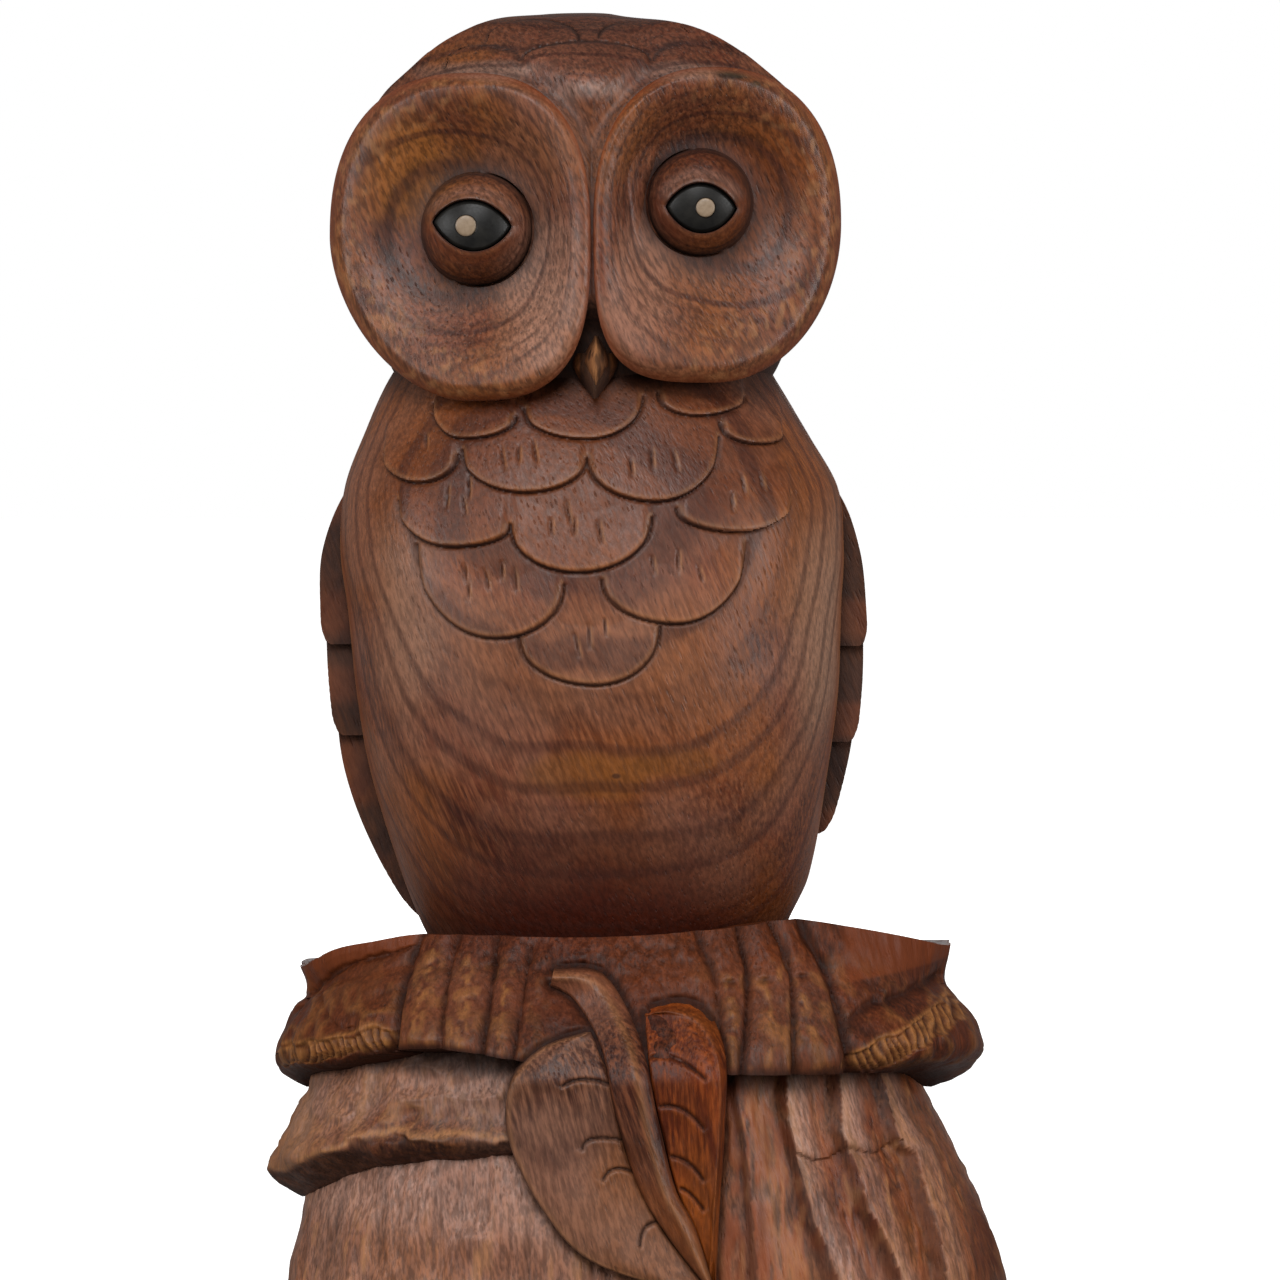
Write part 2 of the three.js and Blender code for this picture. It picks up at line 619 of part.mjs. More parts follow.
// The fluted upper band, whose outer panels end in a thick chewed lip.
function upperBand() {
  return barkBand({
    table: UPPER_BAND,
    columns: barkColumns(FLUTE_CREASES, 2),
    highEdge: rimHeight,
    lowEdge: (angle) => 108.5 + 16.5 * Math.sqrt(frontShare(angle)) + 7.5 * bump(angle, -34, 22),
    relief: ({ mark, span }, share) => {
      const crease = mark ? Math.min(CREASE_DEEP, span * CREASE_PER_RADIAN) : 0;
      return -crease * (share < 1 ? 1 : CREASE_AT_TOP);
    },
  });
}

// The second ledge, which stands out on the left only.
function ledgeBand() {
  return barkBand({
    table: LEDGE_BAND,
    columns: barkColumns(GOUGE_RIDGES, 1),
    highEdge: () => LOWER_BARK_TOP,
    lowEdge: (angle) => 75.5 + 26 * frontShare(angle) ** 1.2 + 2 * bump(angle, -50, 16),
    relief: ({ angle, mark }) => (mark ? 0 : -LEDGE_GOUGE_DEEP) - LEDGE_SUNK * rightSide(angle),
  });
}

// The gouged bark below, down to the flat underside.
function lowerBark() {
  return barkBand({
    table: LOWER_BARK,
    columns: barkColumns(GOUGE_RIDGES, 1),
    highEdge: () => LOWER_BARK_TOP,
    lowEdge: () => 0,
    relief: ({ mark }) => (mark ? 0 : -GOUGE_DEEP),
  });
}

// How far forward the leaf lies at a place on the front of the stump.
function leafDepth(x, z) {
  const middle = LEAF_TOP_REACH + 18 * smoothstep(152 - z, 0, 30) + 3 * smoothstep(110 - z, 0, 50);
  return -middle * (1 - Math.abs(x / 100) ** STUMP_BEND) ** (1 / STUMP_BEND);
}

// A blade or stem of the leaf between two outlines, with its height given across it.
function blade({ outer, inner }, steps, heights) {
  const line = (points) => new THREE.SplineCurve(points.map(([x, z]) => new THREE.Vector2(x, z)));
  const [outerLine, innerLine] = [line(outer), line(inner)];
  const grid = (height) =>
    evenly(0, 1, steps).map((down) => {
      const [from, to] = [outerLine.getPoint(down), innerLine.getPoint(down)];
      return heights.map((_, i) => {
        const place = from.clone().lerp(to, i / (heights.length - 1));
        return new THREE.Vector3(place.x, leafDepth(place.x, place.y) - height(i), place.y);
      });
    });
  return slab(grid((i) => heights[i]), grid(() => -9));
}

// A vein: a shallow V cut across a blade, through three places.
function vein([leftX, leftZ, midX, midZ, rightX, rightZ]) {
  const places = [[leftX, leftZ], [midX, midZ], [rightX, rightZ]];
  const ring = ([x, z], i) => {
    const half = i === 1 ? VEIN.wide / 2 : VEIN.wide / 4;
    const depth = leafDepth(x, z);
    return [
      new THREE.Vector3(x, depth - 8, z + half * 2),
      new THREE.Vector3(x, depth - 3.6 + (i === 1 ? VEIN.deep : 0), z),
      new THREE.Vector3(x, depth - 8, z - half * 2),
    ];
  };
  return skin(places.map(ring));
}

function leaf() {
  return union([
    blade(LEAF_LEFT, 9, [3.6, 4.6, 4, 2.6, 1.4]),
    blade(LEAF_RIGHT, 8, [3.2, 4.4, 2.6, 2, 1.6]),
    blade(LEAF_STEM, 9, [2.6, 4.2, 5.2, 3]),
  ]).subtract(union(VEINS.map(vein)));
}

// The whole carving, with the sockets for the inlays.
function carving() {
  const torsoHeights = [138, 150, 164, 180, 198, 218, 238, 258, 276, 292, 307, 322, 330, 336];
  const torso = sectionBody(TORSO_SECTIONS, TORSO_BEND, 32, torsoHeights);
  const hollows = union([discHollow(LEFT_DISC, LEFT_EYE), discHollow(RIGHT_DISC, RIGHT_EYE)]);
  const head = sectionBody(HEAD_SECTIONS, HEAD_BEND, 30, HEAD_SECTIONS.map(([z]) => z)).subtract(hollows);
  const face = union([
    faceDisc(LEFT_DISC, LEFT_EYE),
    faceDisc(RIGHT_DISC, RIGHT_EYE),
    valley(),
    bill(BEAK_LIP),
    bill(BEAK),
  ]);
  const breast = { place: breastPoint, root: FEATHER_LENGTH, proud: FEATHER_PROUD, steps: 6 };
  const feathers = union(
    Object.values(FEATHERS).map((outline) => feather({ ...breast, outline })),
  ).subtract(union(NICKS.map(nick)));
  const plumage = union([
    ...CROWN_FEATHERS.map(crownFeather),
    ...WING_ROWS.flatMap((row) => [wingRow(row, -1), wingRow(row, 1)]),
    tail(),
  ]);
  const stump = union([upperBand(), ledgeBand(), lowerBark(), leaf()]);
  const sockets = union([LEFT_EYE, RIGHT_EYE].map((eye) => almond(eye, FIT_GAP)));
  return withoutSlivers(union([torso, head, face, feathers, plumage, stump]).subtract(sockets));
}

// A mesh with flat faces from a solid.
function mesh(name, made, material) {
  const { vertProperties, triVerts } = made.getMesh();
  const geometry = new THREE.BufferGeometry();
  geometry.setAttribute("position", new THREE.BufferAttribute(vertProperties, 3));
  geometry.setIndex(new THREE.BufferAttribute(triVerts, 1));
  const part = new THREE.Mesh(geometry, material);
  part.name = name;
  return part;
}

const owl = new THREE.Group();
owl.add(mesh("owl_carving", carving(), WOOD));
for (const [side, eye] of [["left", LEFT_EYE], ["right", RIGHT_EYE]]) {
  const inlay = almond(eye, 0).subtract(pin(eye, FIT_GAP));
  owl.add(mesh(`${side}_eye_inlay`, inlay, BLACK_INLAY));
  owl.add(mesh(`${side}_eye_pin`, pin(eye, 0), PALE_PIN));
}

export default owl;
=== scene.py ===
"""A wooden owl carved with its bark stump and leaf from one block, with two inlaid eyes.

The sizes below are millimetres and repeat the ones that the solids were made from. Every shape is
a surface worked out as whole arrays, and is turned into metres when it becomes a mesh. The owl
looks along -Y, +Z is up, and the origin is the middle of the stump's flat underside.
"""
import logging
import math
from dataclasses import dataclass
from enum import Enum
from functools import partial, reduce
from typing import Sequence, Union

import bpy
import numpy as np
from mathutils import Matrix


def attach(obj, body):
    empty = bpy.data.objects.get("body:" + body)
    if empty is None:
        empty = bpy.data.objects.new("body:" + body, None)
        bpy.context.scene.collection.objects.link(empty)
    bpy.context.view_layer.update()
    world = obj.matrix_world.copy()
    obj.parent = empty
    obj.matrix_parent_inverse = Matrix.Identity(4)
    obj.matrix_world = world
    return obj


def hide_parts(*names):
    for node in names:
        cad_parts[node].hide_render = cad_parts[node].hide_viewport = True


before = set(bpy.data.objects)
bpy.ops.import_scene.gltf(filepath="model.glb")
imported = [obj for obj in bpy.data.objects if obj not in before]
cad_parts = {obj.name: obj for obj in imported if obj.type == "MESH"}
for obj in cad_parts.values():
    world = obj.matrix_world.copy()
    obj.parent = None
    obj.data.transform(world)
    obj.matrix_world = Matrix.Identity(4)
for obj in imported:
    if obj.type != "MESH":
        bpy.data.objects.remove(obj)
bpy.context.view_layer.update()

LOG = logging.getLogger("carved_owl")
METRE = 0.001
LATTICE = 32
FULL_TURN = 2 * math.pi
FAR = 99.0
SCRATCH_DEEP = 0.1
CARVING_NODE = "owl_carving"
# Per point: staining with painted shade in cuts, hollows and under parts; worn edges with painted highlights;
# smooth orange wood; and painted sheen (pale).
LOOKS = ("cavity_shade_and_stain", "wear_and_highlight", "warm", "pale")

Array = np.ndarray
Number = Union[float, Array]
Pair = tuple[float, float]
Triple = tuple[float, float, float]
Material = bpy.types.Material
Socket = bpy.types.NodeSocket


# Shape helpers

def linear(colour: str) -> tuple[float, float, float, float]:
    """Scene-linear colour of an sRGB hex string: each channel is undone by the sRGB curve."""
    channels = [int(colour[i:i + 2], 16) / 255 for i in (1, 3, 5)]
    curve = [c / 12.92 if c <= 0.04045 else ((c + 0.055) / 1.055) ** 2.4 for c in channels]
    return (curve[0], curve[1], curve[2], 1.0)


def lerp(start: Number, end: Number, share: Number) -> Number:
    """Straight blend: start plus share times the difference."""
    return start + (end - start) * share


def smoothstep(value: Number, low: float, high: float) -> Array:
    """Rise from 0 at low to 1 at high: 3t squared less 2t cubed."""
    t = np.clip((np.asarray(value, float) - low) / (high - low), 0, 1)
    return t * t * (3 - 2 * t)


def fall(value: Number, low: float, high: float) -> Array:
    """Fall from 1 at low to 0 at high, the rise turned over."""
    return 1 - smoothstep(value, low, high)


def most(*values: Number) -> Array:
    """The greatest of several values at each point."""
    return reduce(np.maximum, values)


def bell(value: Number, width: float) -> Array:
    """Round peak of height 1 at zero: e to the minus (value over width) squared."""
    return np.exp(-(np.asarray(value, float) / width) ** 2)


def round_power(value: Number, bend: Number) -> Array:
    """Signed power 2 / bend, which bends a circle into a squarer or slimmer oval."""
    return np.sign(value) * np.abs(value) ** (2 / bend)


def rows_at(table: Sequence[Sequence[float]], key: Number) -> Array:
    """Values of a table at keys, by a smooth cubic curve through its rows.

    Each stretch is a cubic from row p to row q, whose end slopes are those of the straight lines
    from the row before p to q, and from p to the row after q.

    Args:
        table: rows whose first value is the key.
        key: where the values are wanted.

    Returns:
        An array of the shape of key with one more axis, the values after the key.
    """
    rows = np.array(sorted(table), float)
    key = np.asarray(key, float)
    i = np.clip(np.searchsorted(rows[1:, 0], key, side="left"), 0, len(rows) - 2)
    p, q = rows[i], rows[i + 1]
    before, after = rows[np.maximum(i - 1, 0)], rows[np.minimum(i + 2, len(rows) - 1)]
    span = q[..., :1] - p[..., :1]
    t = np.clip((key[..., None] - p[..., :1]) / span, 0, 1)
    slope_in = (q - before) / (q[..., :1] - before[..., :1]) * span
    slope_out = (after - p) / (after[..., :1] - p[..., :1]) * span
    cubic = (p * (2 * t ** 3 - 3 * t ** 2 + 1) + slope_in * (t ** 3 - 2 * t ** 2 + t)
             + q * (3 * t ** 2 - 2 * t ** 3) + slope_out * (t ** 3 - t ** 2))
    return cubic[..., 1:]


def section_points(rows: Array, bend: float, angle: Array, z: Array, out: Number = 0.0) -> Array:
    """Points of a rounded section, whose angle 0 is the front and 90 degrees the right side.

    x is the middle plus (side reach + out) times the bent sine of the angle, and y is minus
    (depth + out) times the bent cosine.

    Args:
        rows: middle, left, right, front and back reach in the last axis.
        bend: how square the section is, 2 being an ellipse.
        angle: angle of each point.
        z: height of each point.
        out: how far each point stands out from the section.

    Returns:
        The points, with x, y and z in the last axis.
    """
    middle, left, right, front, back = np.moveaxis(rows, -1, 0)
    across = np.where(np.sin(angle) < 0, left, right)
    deep = np.where(np.cos(angle) > 0, front, back)
    x = middle + (across + out) * round_power(np.sin(angle), bend)
    y = -(deep + out) * round_power(np.cos(angle), bend)
    return np.stack(np.broadcast_arrays(x, y, z), axis=-1)


def on_front(table: Sequence[Sequence[float]], bend: float, x: Array, z: Array) -> Array:
    """Points on the front of a body of rounded sections, found from x and z."""
    middle, reach, _, depth, _ = np.moveaxis(rows_at(table, z), -1, 0)
    share = np.clip(np.abs(x - middle) / reach, 0, 0.995)
    return np.stack([x, -depth * (1 - share ** bend) ** (1 / bend), z], -1)


def turns(count: int) -> Array:
    """Angles evenly round a circle."""
    return np.linspace(0, FULL_TURN, count, endpoint=False)


def circle(x: float, z: float, radius: float, turn: Array) -> Array:
    """Points of an upright circle as x and z."""
    return np.stack([x + radius * np.cos(turn), z + radius * np.sin(turn)], -1)


def front_columns(bend: float, share: float, front: int, back: int) -> Array:
    """Angles round a section, even in x over the front and even in angle behind.

    Args:
        bend: the section's bend.
        share: share of the side reach that the even front covers.
        front: how many columns lie in front.
        back: how many lie behind.

    Returns:
        The angles, running counter-clockwise from the front's left end.
    """
    shares = np.linspace(-share, share, front)
    angles = np.sign(shares) * np.arcsin(np.abs(shares) ** (bend / 2))
    behind = np.linspace(angles[-1], angles[0] + FULL_TURN, back + 2)[1:-1]
    return np.concatenate([angles, behind])


def path_distance(points: Array, path: Array, reach: float) -> Array:
    """Distance of each point from a path of straight stretches, as far as reach.

    The point is dropped onto each stretch, held between its ends, and the least length counts.

    Args:
        points: array whose last axis is a place.
        path: the path's corners.
        reach: distance past which the answer stays at reach.

    Returns:
        The distances, in the shape of points without its last axis.
    """
    flat = points.reshape(-1, points.shape[-1])
    far = np.full(len(flat), reach)
    near = np.all((flat > path.min(0) - reach) & (flat < path.max(0) + reach), axis=1)
    if not near.any():
        return far.reshape(points.shape[:-1])
    chosen = flat[near].astype(np.float32)
    start = path[:-1].astype(np.float32)
    along = (path[1:] - path[:-1]).astype(np.float32)
    from_start = chosen[:, None, :] - start
    held = np.clip((from_start * along).sum(-1) / ((along ** 2).sum(-1) + 1e-9), 0, 1)
    gap = np.sqrt(((from_start - held[..., None] * along) ** 2).sum(-1)).min(1)
    far[near] = np.minimum(gap, reach)
    return far.reshape(points.shape[:-1])


def uneven(points: Array, seed: int, cell: Sequence[float]) -> Array:
    """Smooth seeded unevenness in space, from 0 to 1.

    Random values stand on the corners of a lattice, and a point takes a smoothed blend of the eight
    corners around it.

    Args:
        points: where the values are wanted.
        seed: seed of the random draw.
        cell: size of a lattice cell along x, y and z.

    Returns:
        The values.
    """
    corners = np.random.default_rng(seed).random((LATTICE,) * 3).astype(np.float32)
    place = points / np.array(cell, float)
    base = np.floor(place).astype(int)
    t = smoothstep(place - base, 0, 1)
    value = np.zeros(points.shape[:-1])
    for corner in np.ndindex(2, 2, 2):
        i, j, k = np.moveaxis((base + corner) % LATTICE, -1, 0)
        value += np.where(corner, t, 1 - t).prod(-1) * corners[i, j, k]
    return value


def facets(points: Array, seed: int, cell: Sequence[float]) -> Array:
    """Knife facets: the unevenness folded at its middle value, so that valleys meet in creases."""
    return np.abs(2 * uneven(points, seed, cell) - 1)


@dataclass
class Skin:
    """A closed surface with, at each point, its staining and painted shade, its worn edges and painted
    highlights, how smooth (warm) it is, and its painted sheen (pale).
    """
    points: Array
    quads: Array
    triangles: Array
    looks: Sequence[Array]

    def volume(self) -> float:
        """Signed volume: a sixth of the sum of the triple products of all triangles."""
        halves = [self.quads[:, [0, 1, 2]], self.quads[:, [0, 2, 3]], self.triangles]
        a, b, c = np.moveaxis(self.points[np.concatenate(halves)], 1, 0)
        return float((a * np.cross(b, c)).sum() / 6)

    def mesh(self, name: str, sharp: float) -> bpy.types.Mesh:
        """Turns the surface into a mesh in metres.

        Args:
            name: name of the mesh.
            sharp: angle in degrees past which an edge stays sharp.

        Returns:
            The mesh, its faces pointing outwards.
        """
        turn = -1 if self.volume() < 0 else 1
        corners = [self.quads[:, ::turn], self.triangles[:, ::turn]]
        loops = np.concatenate([part.ravel() for part in corners]).astype(np.int32)
        sizes = np.concatenate([np.full(len(part), part.shape[1]) for part in corners])
        starts = np.concatenate([[0], np.cumsum(sizes)[:-1]]).astype(np.int32)
        made = bpy.data.meshes.new(name)
        made.vertices.add(len(self.points))
        made.vertices.foreach_set("co", (self.points * METRE).astype(np.float32).ravel())
        made.loops.add(len(loops))
        made.loops.foreach_set("vertex_index", loops)
        made.polygons.add(len(starts))
        made.polygons.foreach_set("loop_start", starts)
        made.polygons.foreach_set("use_smooth", np.ones(len(starts), bool))
        made.update(calc_edges=True)
        for key, values in zip(LOOKS, self.looks):
            layer = made.attributes.new(key, "FLOAT", "POINT")
            layer.data.foreach_set("value", np.clip(values, 0, 1).astype(np.float32))
        made.validate()
        made.set_sharp_from_angle(angle=math.radians(sharp))
        return made


def every_look(looks: Sequence[Number]) -> list[Number]:
    """All four looks: staining with painted shade, worn edges with painted highlights, smoothness, and
    painted sheen, of which those left out are 0.
    """
    return list(looks) + [0.0] * (len(LOOKS) - len(looks))


def closed_rings(grid: Array, *looks: Number) -> Skin:
    """Closed surface over rings of points, with a fan over the first and the last ring.

    Args:
        grid: points by ring and by place on the ring.
        looks: staining with painted shade, worn edges with painted highlights, smoothness and painted sheen
            of the points.

    Returns:
        The surface.
    """
    rows, columns = grid.shape[:2]
    index = np.arange(rows * columns).reshape(rows, columns)
    beside = np.roll(index, -1, axis=1)
    quads = np.stack([index[:-1], beside[:-1], beside[1:], index[1:]], axis=-1).reshape(-1, 4)
    ends = np.full((2, columns), rows * columns) + [[0], [1]]
    fans = [np.stack([beside[0], index[0], ends[0]], -1), np.stack([index[-1], beside[-1], ends[1]], -1)]
    middles = np.stack([grid[0].mean(0), grid[-1].mean(0)])

    def filled(values: Number) -> Array:
        """Values of the grid's points and of the two middles."""
        whole = np.broadcast_to(values, (rows, columns))
        return np.concatenate([whole.ravel(), [whole[0].mean(), whole[-1].mean()]])

    return Skin(np.concatenate([grid.reshape(-1, 3), middles]), quads, np.concatenate(fans),
                [filled(values) for values in every_look(looks)])


def laid_patch(grid: Array, *looks: Number) -> Skin:
    """Closed surface from an open grid whose border already lies inside what carries it.

    The border is closed by a fan to its own middle, which is hidden in the wood.

    Args:
        grid: points by row and column.
        looks: staining with painted shade, worn edges with painted highlights, smoothness and painted sheen
            of the points.

    Returns:
        The surface.
    """
    rows, columns = grid.shape[:2]
    index = np.arange(rows * columns).reshape(rows, columns)
    quads = np.stack([index[:-1, :-1], index[:-1, 1:], index[1:, 1:], index[1:, :-1]], -1).reshape(-1, 4)
    border = np.concatenate([index[0, :-1], index[:-1, -1], index[-1, :0:-1], index[:0:-1, 0]])
    fan = np.stack([np.roll(border, -1), border, np.full(len(border), rows * columns)], -1)
    middle = grid.reshape(-1, 3)[border].mean(0)
    return Skin(np.concatenate([grid.reshape(-1, 3), middle[None]]), quads, fan,
                [np.append(np.broadcast_to(v, (rows, columns)).ravel(), 0.0) for v in every_look(looks)])


def with_border(values: Array) -> Array:
    """The values with the first and last one doubled, so that a grid gets a wall at its border."""
    return np.concatenate([values[:1], values, values[-1:]])


def border_mask(rows: int, columns: int) -> Array:
    """True on the outermost points of a grid."""
    mask = np.ones((rows, columns), bool)
    mask[1:-1, 1:-1] = False
    return mask


# Finishes

def add_node(tree: bpy.types.NodeTree, kind: str, inputs: dict | None = None, output: int | str = 0,
             **settings: object) -> Socket | None:
    """Adds a node with its settings and links.

    Args:
        tree: the node tree.
        kind: the node's type, without the beginning that all of them share.
        inputs: a value or an output socket for each input, by name or number.
        output: which output is wanted.
        settings: properties of the node.

    Returns:
        The output, or None where the node has none.
    """
    node = tree.nodes.new("ShaderNode" + kind)
    for key, value in settings.items():
        setattr(node, key, value)
    for key, value in (inputs or {}).items():
        if isinstance(value, Socket):
            tree.links.new(value, node.inputs[key])
        else:
            node.inputs[key].default_value = value
    return node.outputs[output] if node.outputs else None


class Finish:
    """A material whose node tree starts empty, and what every finish reads or ends with."""

    def __init__(self, name: str) -> None:
        """Makes the empty material."""
        self.made = bpy.data.materials.new(name)
        self.made.use_nodes = True
        self.made.node_tree.nodes.clear()
        self.add = partial(add_node, self.made.node_tree)

    def millimetres(self) -> Socket:
        """Places on the piece, 1 being a millimetre."""
        place = self.add("TexCoord", {}, "Object")
        return self.add("Mapping", {"Vector": place, "Scale": (1 / METRE,) * 3})

    def surfaced(self, inputs: dict) -> Material:
        """The material, ended by a surface with the given inputs."""
        self.add("OutputMaterial", {"Surface": self.add("BsdfPrincipled", inputs)})
        return self.made


@dataclass(frozen=True)
class Patch:
    """A soft patch of another colour: its middle, reach, amount and how ragged its edge is."""
    colour: str
    middle: Triple
    reach: Triple
    amount: float
    ragged: float = 0.25


def patches(*rows: tuple) -> tuple[Patch, ...]:
    """Patches from rows of colour, middle, reach and amount, and raggedness if it isn't the usual."""
    return tuple(Patch(row[0], row[1:4], row[4:7], *row[7:]) for row in rows)


@dataclass(frozen=True)
class CarvedWood:
    """Oiled reddish-brown hardwood: growth layers, fibre, open pores, stained cuts and worn edges, with
    painted shade in cuts and hollows, painted highlights and painted sheen.

    The growth layers are tubes round an upright axis behind the block, so they show as long U lines
    on the belly and as rings in the face discs. Fibre, flecks and pores run up the block and lean a
    little to the left.
    """
    name: str = "oiled_carved_hardwood"
    dark: str = "#2b1008"
    middle: str = "#552715"
    light: str = "#764327"
    golden: str = "#80481b"
    mauve: str = "#77503f"
    ring: str = "#2f130c"
    # Near black of staining and of painted shade in cuts, hollows and under parts.
    stain_and_shade: str = "#140603"
    # Golden of worn edges and of painted highlights.
    rubbed_and_highlight: str = "#a06e44"
    smooth: str = "#7a3a1a"
    # Mauve grey of the painted sheen.
    painted_sheen: str = "#8b6859"
    gloss: float = 0.28
    mauve_share: float = 0.45
    golden_share: float = 0.4
    axis: Pair = (-12.0, 150.0)
    layer: float = 3.4
    tilt: float = 0.3
    sway: float = 9.0
    ring_share: float = 0.6
    pore_share: float = 0.3
    fleck_low: float = 0.8
    fleck_high: float = 1.2
    lean: float = 22.0
    # Width and length of a fibre, a fleck and a pore, and how deep the grain is, in millimetres.
    # They are drawn coarser than in real wood, so that they show from the camera.
    fibre_size: Pair = (1.1, 15.0)
    fleck_size: Pair = (1.1, 4.4)
    pore_size: Pair = (1.25, 6.5)
    grain_deep: float = 0.4
    patches: tuple[Patch, ...] = ()

    def from_axis(self, finish: Finish, mm: Socket) -> Socket:
        """Distance from the axis of the growth layers, bent by slow noise.

        Args:
            finish: the finish being built.
            mm: place in millimetres.

        Returns:
            The distance.
        """
        sway = finish.add("TexNoise", {"Vector": mm, "Scale": 0.014, "Detail": 2.0}, "Color")
        centred = finish.add("VectorMath", {0: sway, 1: (0.5, 0.5, 0.5)}, operation="SUBTRACT")
        bent = finish.add("VectorMath", {0: centred, 1: (self.sway, self.sway, 0.0), 2: mm},
                          operation="MULTIPLY_ADD")
        x, y = self.axis
        turned = finish.add("Mapping", {"Vector": bent, "Location": (-x, -y, 0),
                                        "Rotation": (self.tilt, 0, 0)})
        flat = finish.add("VectorMath", {0: turned, 1: (1, 1, 0)}, operation="MULTIPLY")
        return finish.add("VectorMath", {0: flat}, "Value", operation="LENGTH")

    def patterns(self, finish: Finish, mm: Socket) -> dict[str, Socket]:
        """Patterns of the wood: each is carried smoothly from its range to the one that is wanted.

        Args:
            finish: the finish being built.
            mm: place in millimetres.

        Returns:
            The patterns by name.
        """
        add = finish.add
        fibres, flecks, open_pores = (
            add("Mapping", {"Vector": mm, "Rotation": (0.0, math.radians(-self.lean), 0.0),
                            "Scale": (wide, wide, long)}, vector_type="TEXTURE")
            for wide, long in (self.fibre_size, self.fleck_size, self.pore_size))
        moved = add("Mapping", {"Vector": mm, "Location": (310, 50, 170)})
        fibre, fleck, patchy, drift, mauve = (
            add("TexNoise", {"Vector": place, "Scale": scale, "Detail": detail, "Roughness": roughness})
            for place, scale, detail, roughness in (
                (fibres, 1.0, 3.0, 0.6), (flecks, 1.0, 2.5, 0.6), (mm, 0.05, 2.0, 0.5),
                (mm, 0.02, 2.0, 0.5), (moved, 0.026, 3.0, 0.5)))
        radius = self.from_axis(finish, mm)
        broad, narrow = (
            add("TexNoise", {"W": radius, "Scale": turns / self.layer, "Detail": 1.0,
                             "Roughness": roughness}, noise_dimensions="1D")
            for turns, roughness in ((0.34, 0.5), (0.8, 0.55)))
        pores = add("TexVoronoi", {"Vector": open_pores, "Scale": 1.0}, "Distance")
        ranges = {
            "growth": (broad, 0.34, 0.66, 0.0, 1.0), "late": (narrow, 0.47, 0.66, 0.0, 1.0),
            "pore": (pores, 0.08, 0.3, 1.0, 0.0), "clumped": (patchy, 0.3, 0.62, 0.35, 1.0),
            "light": (fibre, 0.35, 0.7, 0.0, 1.0), "golden": (drift, 0.42, 0.6, 0.0, 1.0),
            "mauve": (mauve, 0.42, 0.62, 0.0, 1.0), "painted_sheen": (fibre, 0.3, 0.65, 0.95, 0.55),
            "flecked": (fleck, 0.36, 0.64, self.fleck_low, self.fleck_high),
            "rubbed_and_highlight": (fibre, 0.3, 0.7, 0.45, 0.95), "rough": (fibre, 0.3, 0.7, 0.36, 0.5),
        }
        for number, patch in enumerate(self.patches):
            spot = add("Mapping", {"Vector": mm, "Scale": [1 / r for r in patch.reach],
                                   "Location": [-v / r for v, r in zip(patch.middle, patch.reach)]})
            off = add("VectorMath", {0: spot}, "Value", operation="LENGTH")
            torn = add("MapRange", {0: patchy, 1: 0.2, 2: 0.8, 3: -patch.ragged, 4: patch.ragged},
                       interpolation_type="SMOOTHSTEP")
            ragged = add("Math", {0: off, 1: torn}, operation="ADD")
            ranges[f"patch_{number}"] = (ragged, 0.35, 1.0, patch.amount, 0.0)
        made = {name: add("MapRange", dict(enumerate(values)), interpolation_type="SMOOTHSTEP")
                for name, values in ranges.items()}
        made["pore"] = add("Math", {0: made["pore"], 1: made["clumped"]}, operation="MULTIPLY")
        made |= {look: add("Attribute", {}, "Fac", attribute_type="GEOMETRY", attribute_name=look)
                 for look in LOOKS}
        return made | {"fibre": fibre, "fleck": fleck}

    def material(self) -> Material:
        """Builds the material: coats of colour are laid over one another, each by a share and an amount.

        Returns:
            The material.
        """
        finish = Finish(self.name)
        add = finish.add
        seen = self.patterns(finish, finish.millimetres())
        patches = [(seen[f"patch_{number}"], 1.0, patch.colour) for number, patch in enumerate(self.patches)]
        # Over the wood go the painted sheen (pale), the smooth orange, worn edges with painted highlights,
        # and staining with painted shade.
        coats = [(seen["growth"], 1.0, self.middle), (seen["light"], 0.75, self.light),
                 (seen["golden"], self.golden_share, self.golden),
                 (seen["mauve"], self.mauve_share, self.mauve), *patches,
                 (seen["late"], self.ring_share, self.ring), (seen["pale"], seen["painted_sheen"], self.painted_sheen),
                 (1.0, 1.0, seen["flecked"]), (seen["pore"], self.pore_share, self.stain_and_shade),
                 (seen["warm"], 0.8, self.smooth), (seen["wear_and_highlight"], seen["rubbed_and_highlight"], self.rubbed_and_highlight),
                 (seen["cavity_shade_and_stain"], 0.9, self.stain_and_shade)]
        wood = linear(self.dark)
        for share, amount, coat in coats:
            part = add("Math", {0: share, 1: amount}, operation="MULTIPLY")
            # A coat that is a pattern darkens or lightens what lies under it.
            colour, blend = (linear(coat), "MIX") if isinstance(coat, str) else (coat, "MULTIPLY")
            wood = add("Mix", {0: part, 6: wood, 7: colour}, 2, data_type="RGBA", blend_type=blend)

        # Fibre and flecks stand up a little, pores sink, and cuts and pores are duller.
        grain, deepest = 0.0, add("Math", {0: seen["cavity_shade_and_stain"], 1: seen["pore"]}, operation="MAXIMUM")
        for name, height in (("fibre", 0.5), ("fleck", 0.6), ("pore", -0.5)):
            grain = add("Math", {0: seen[name], 1: height, 2: grain}, operation="MULTIPLY_ADD")
        bump = add("Bump", {"Strength": 0.6, "Distance": self.grain_deep * METRE, "Height": grain})
        rough = add("Math", {0: deepest, 1: 0.25, 2: seen["rough"]}, operation="MULTIPLY_ADD")
        return finish.surfaced({"Base Color": wood, "Roughness": rough, "Specular IOR Level": self.gloss,
                                "Normal": bump})


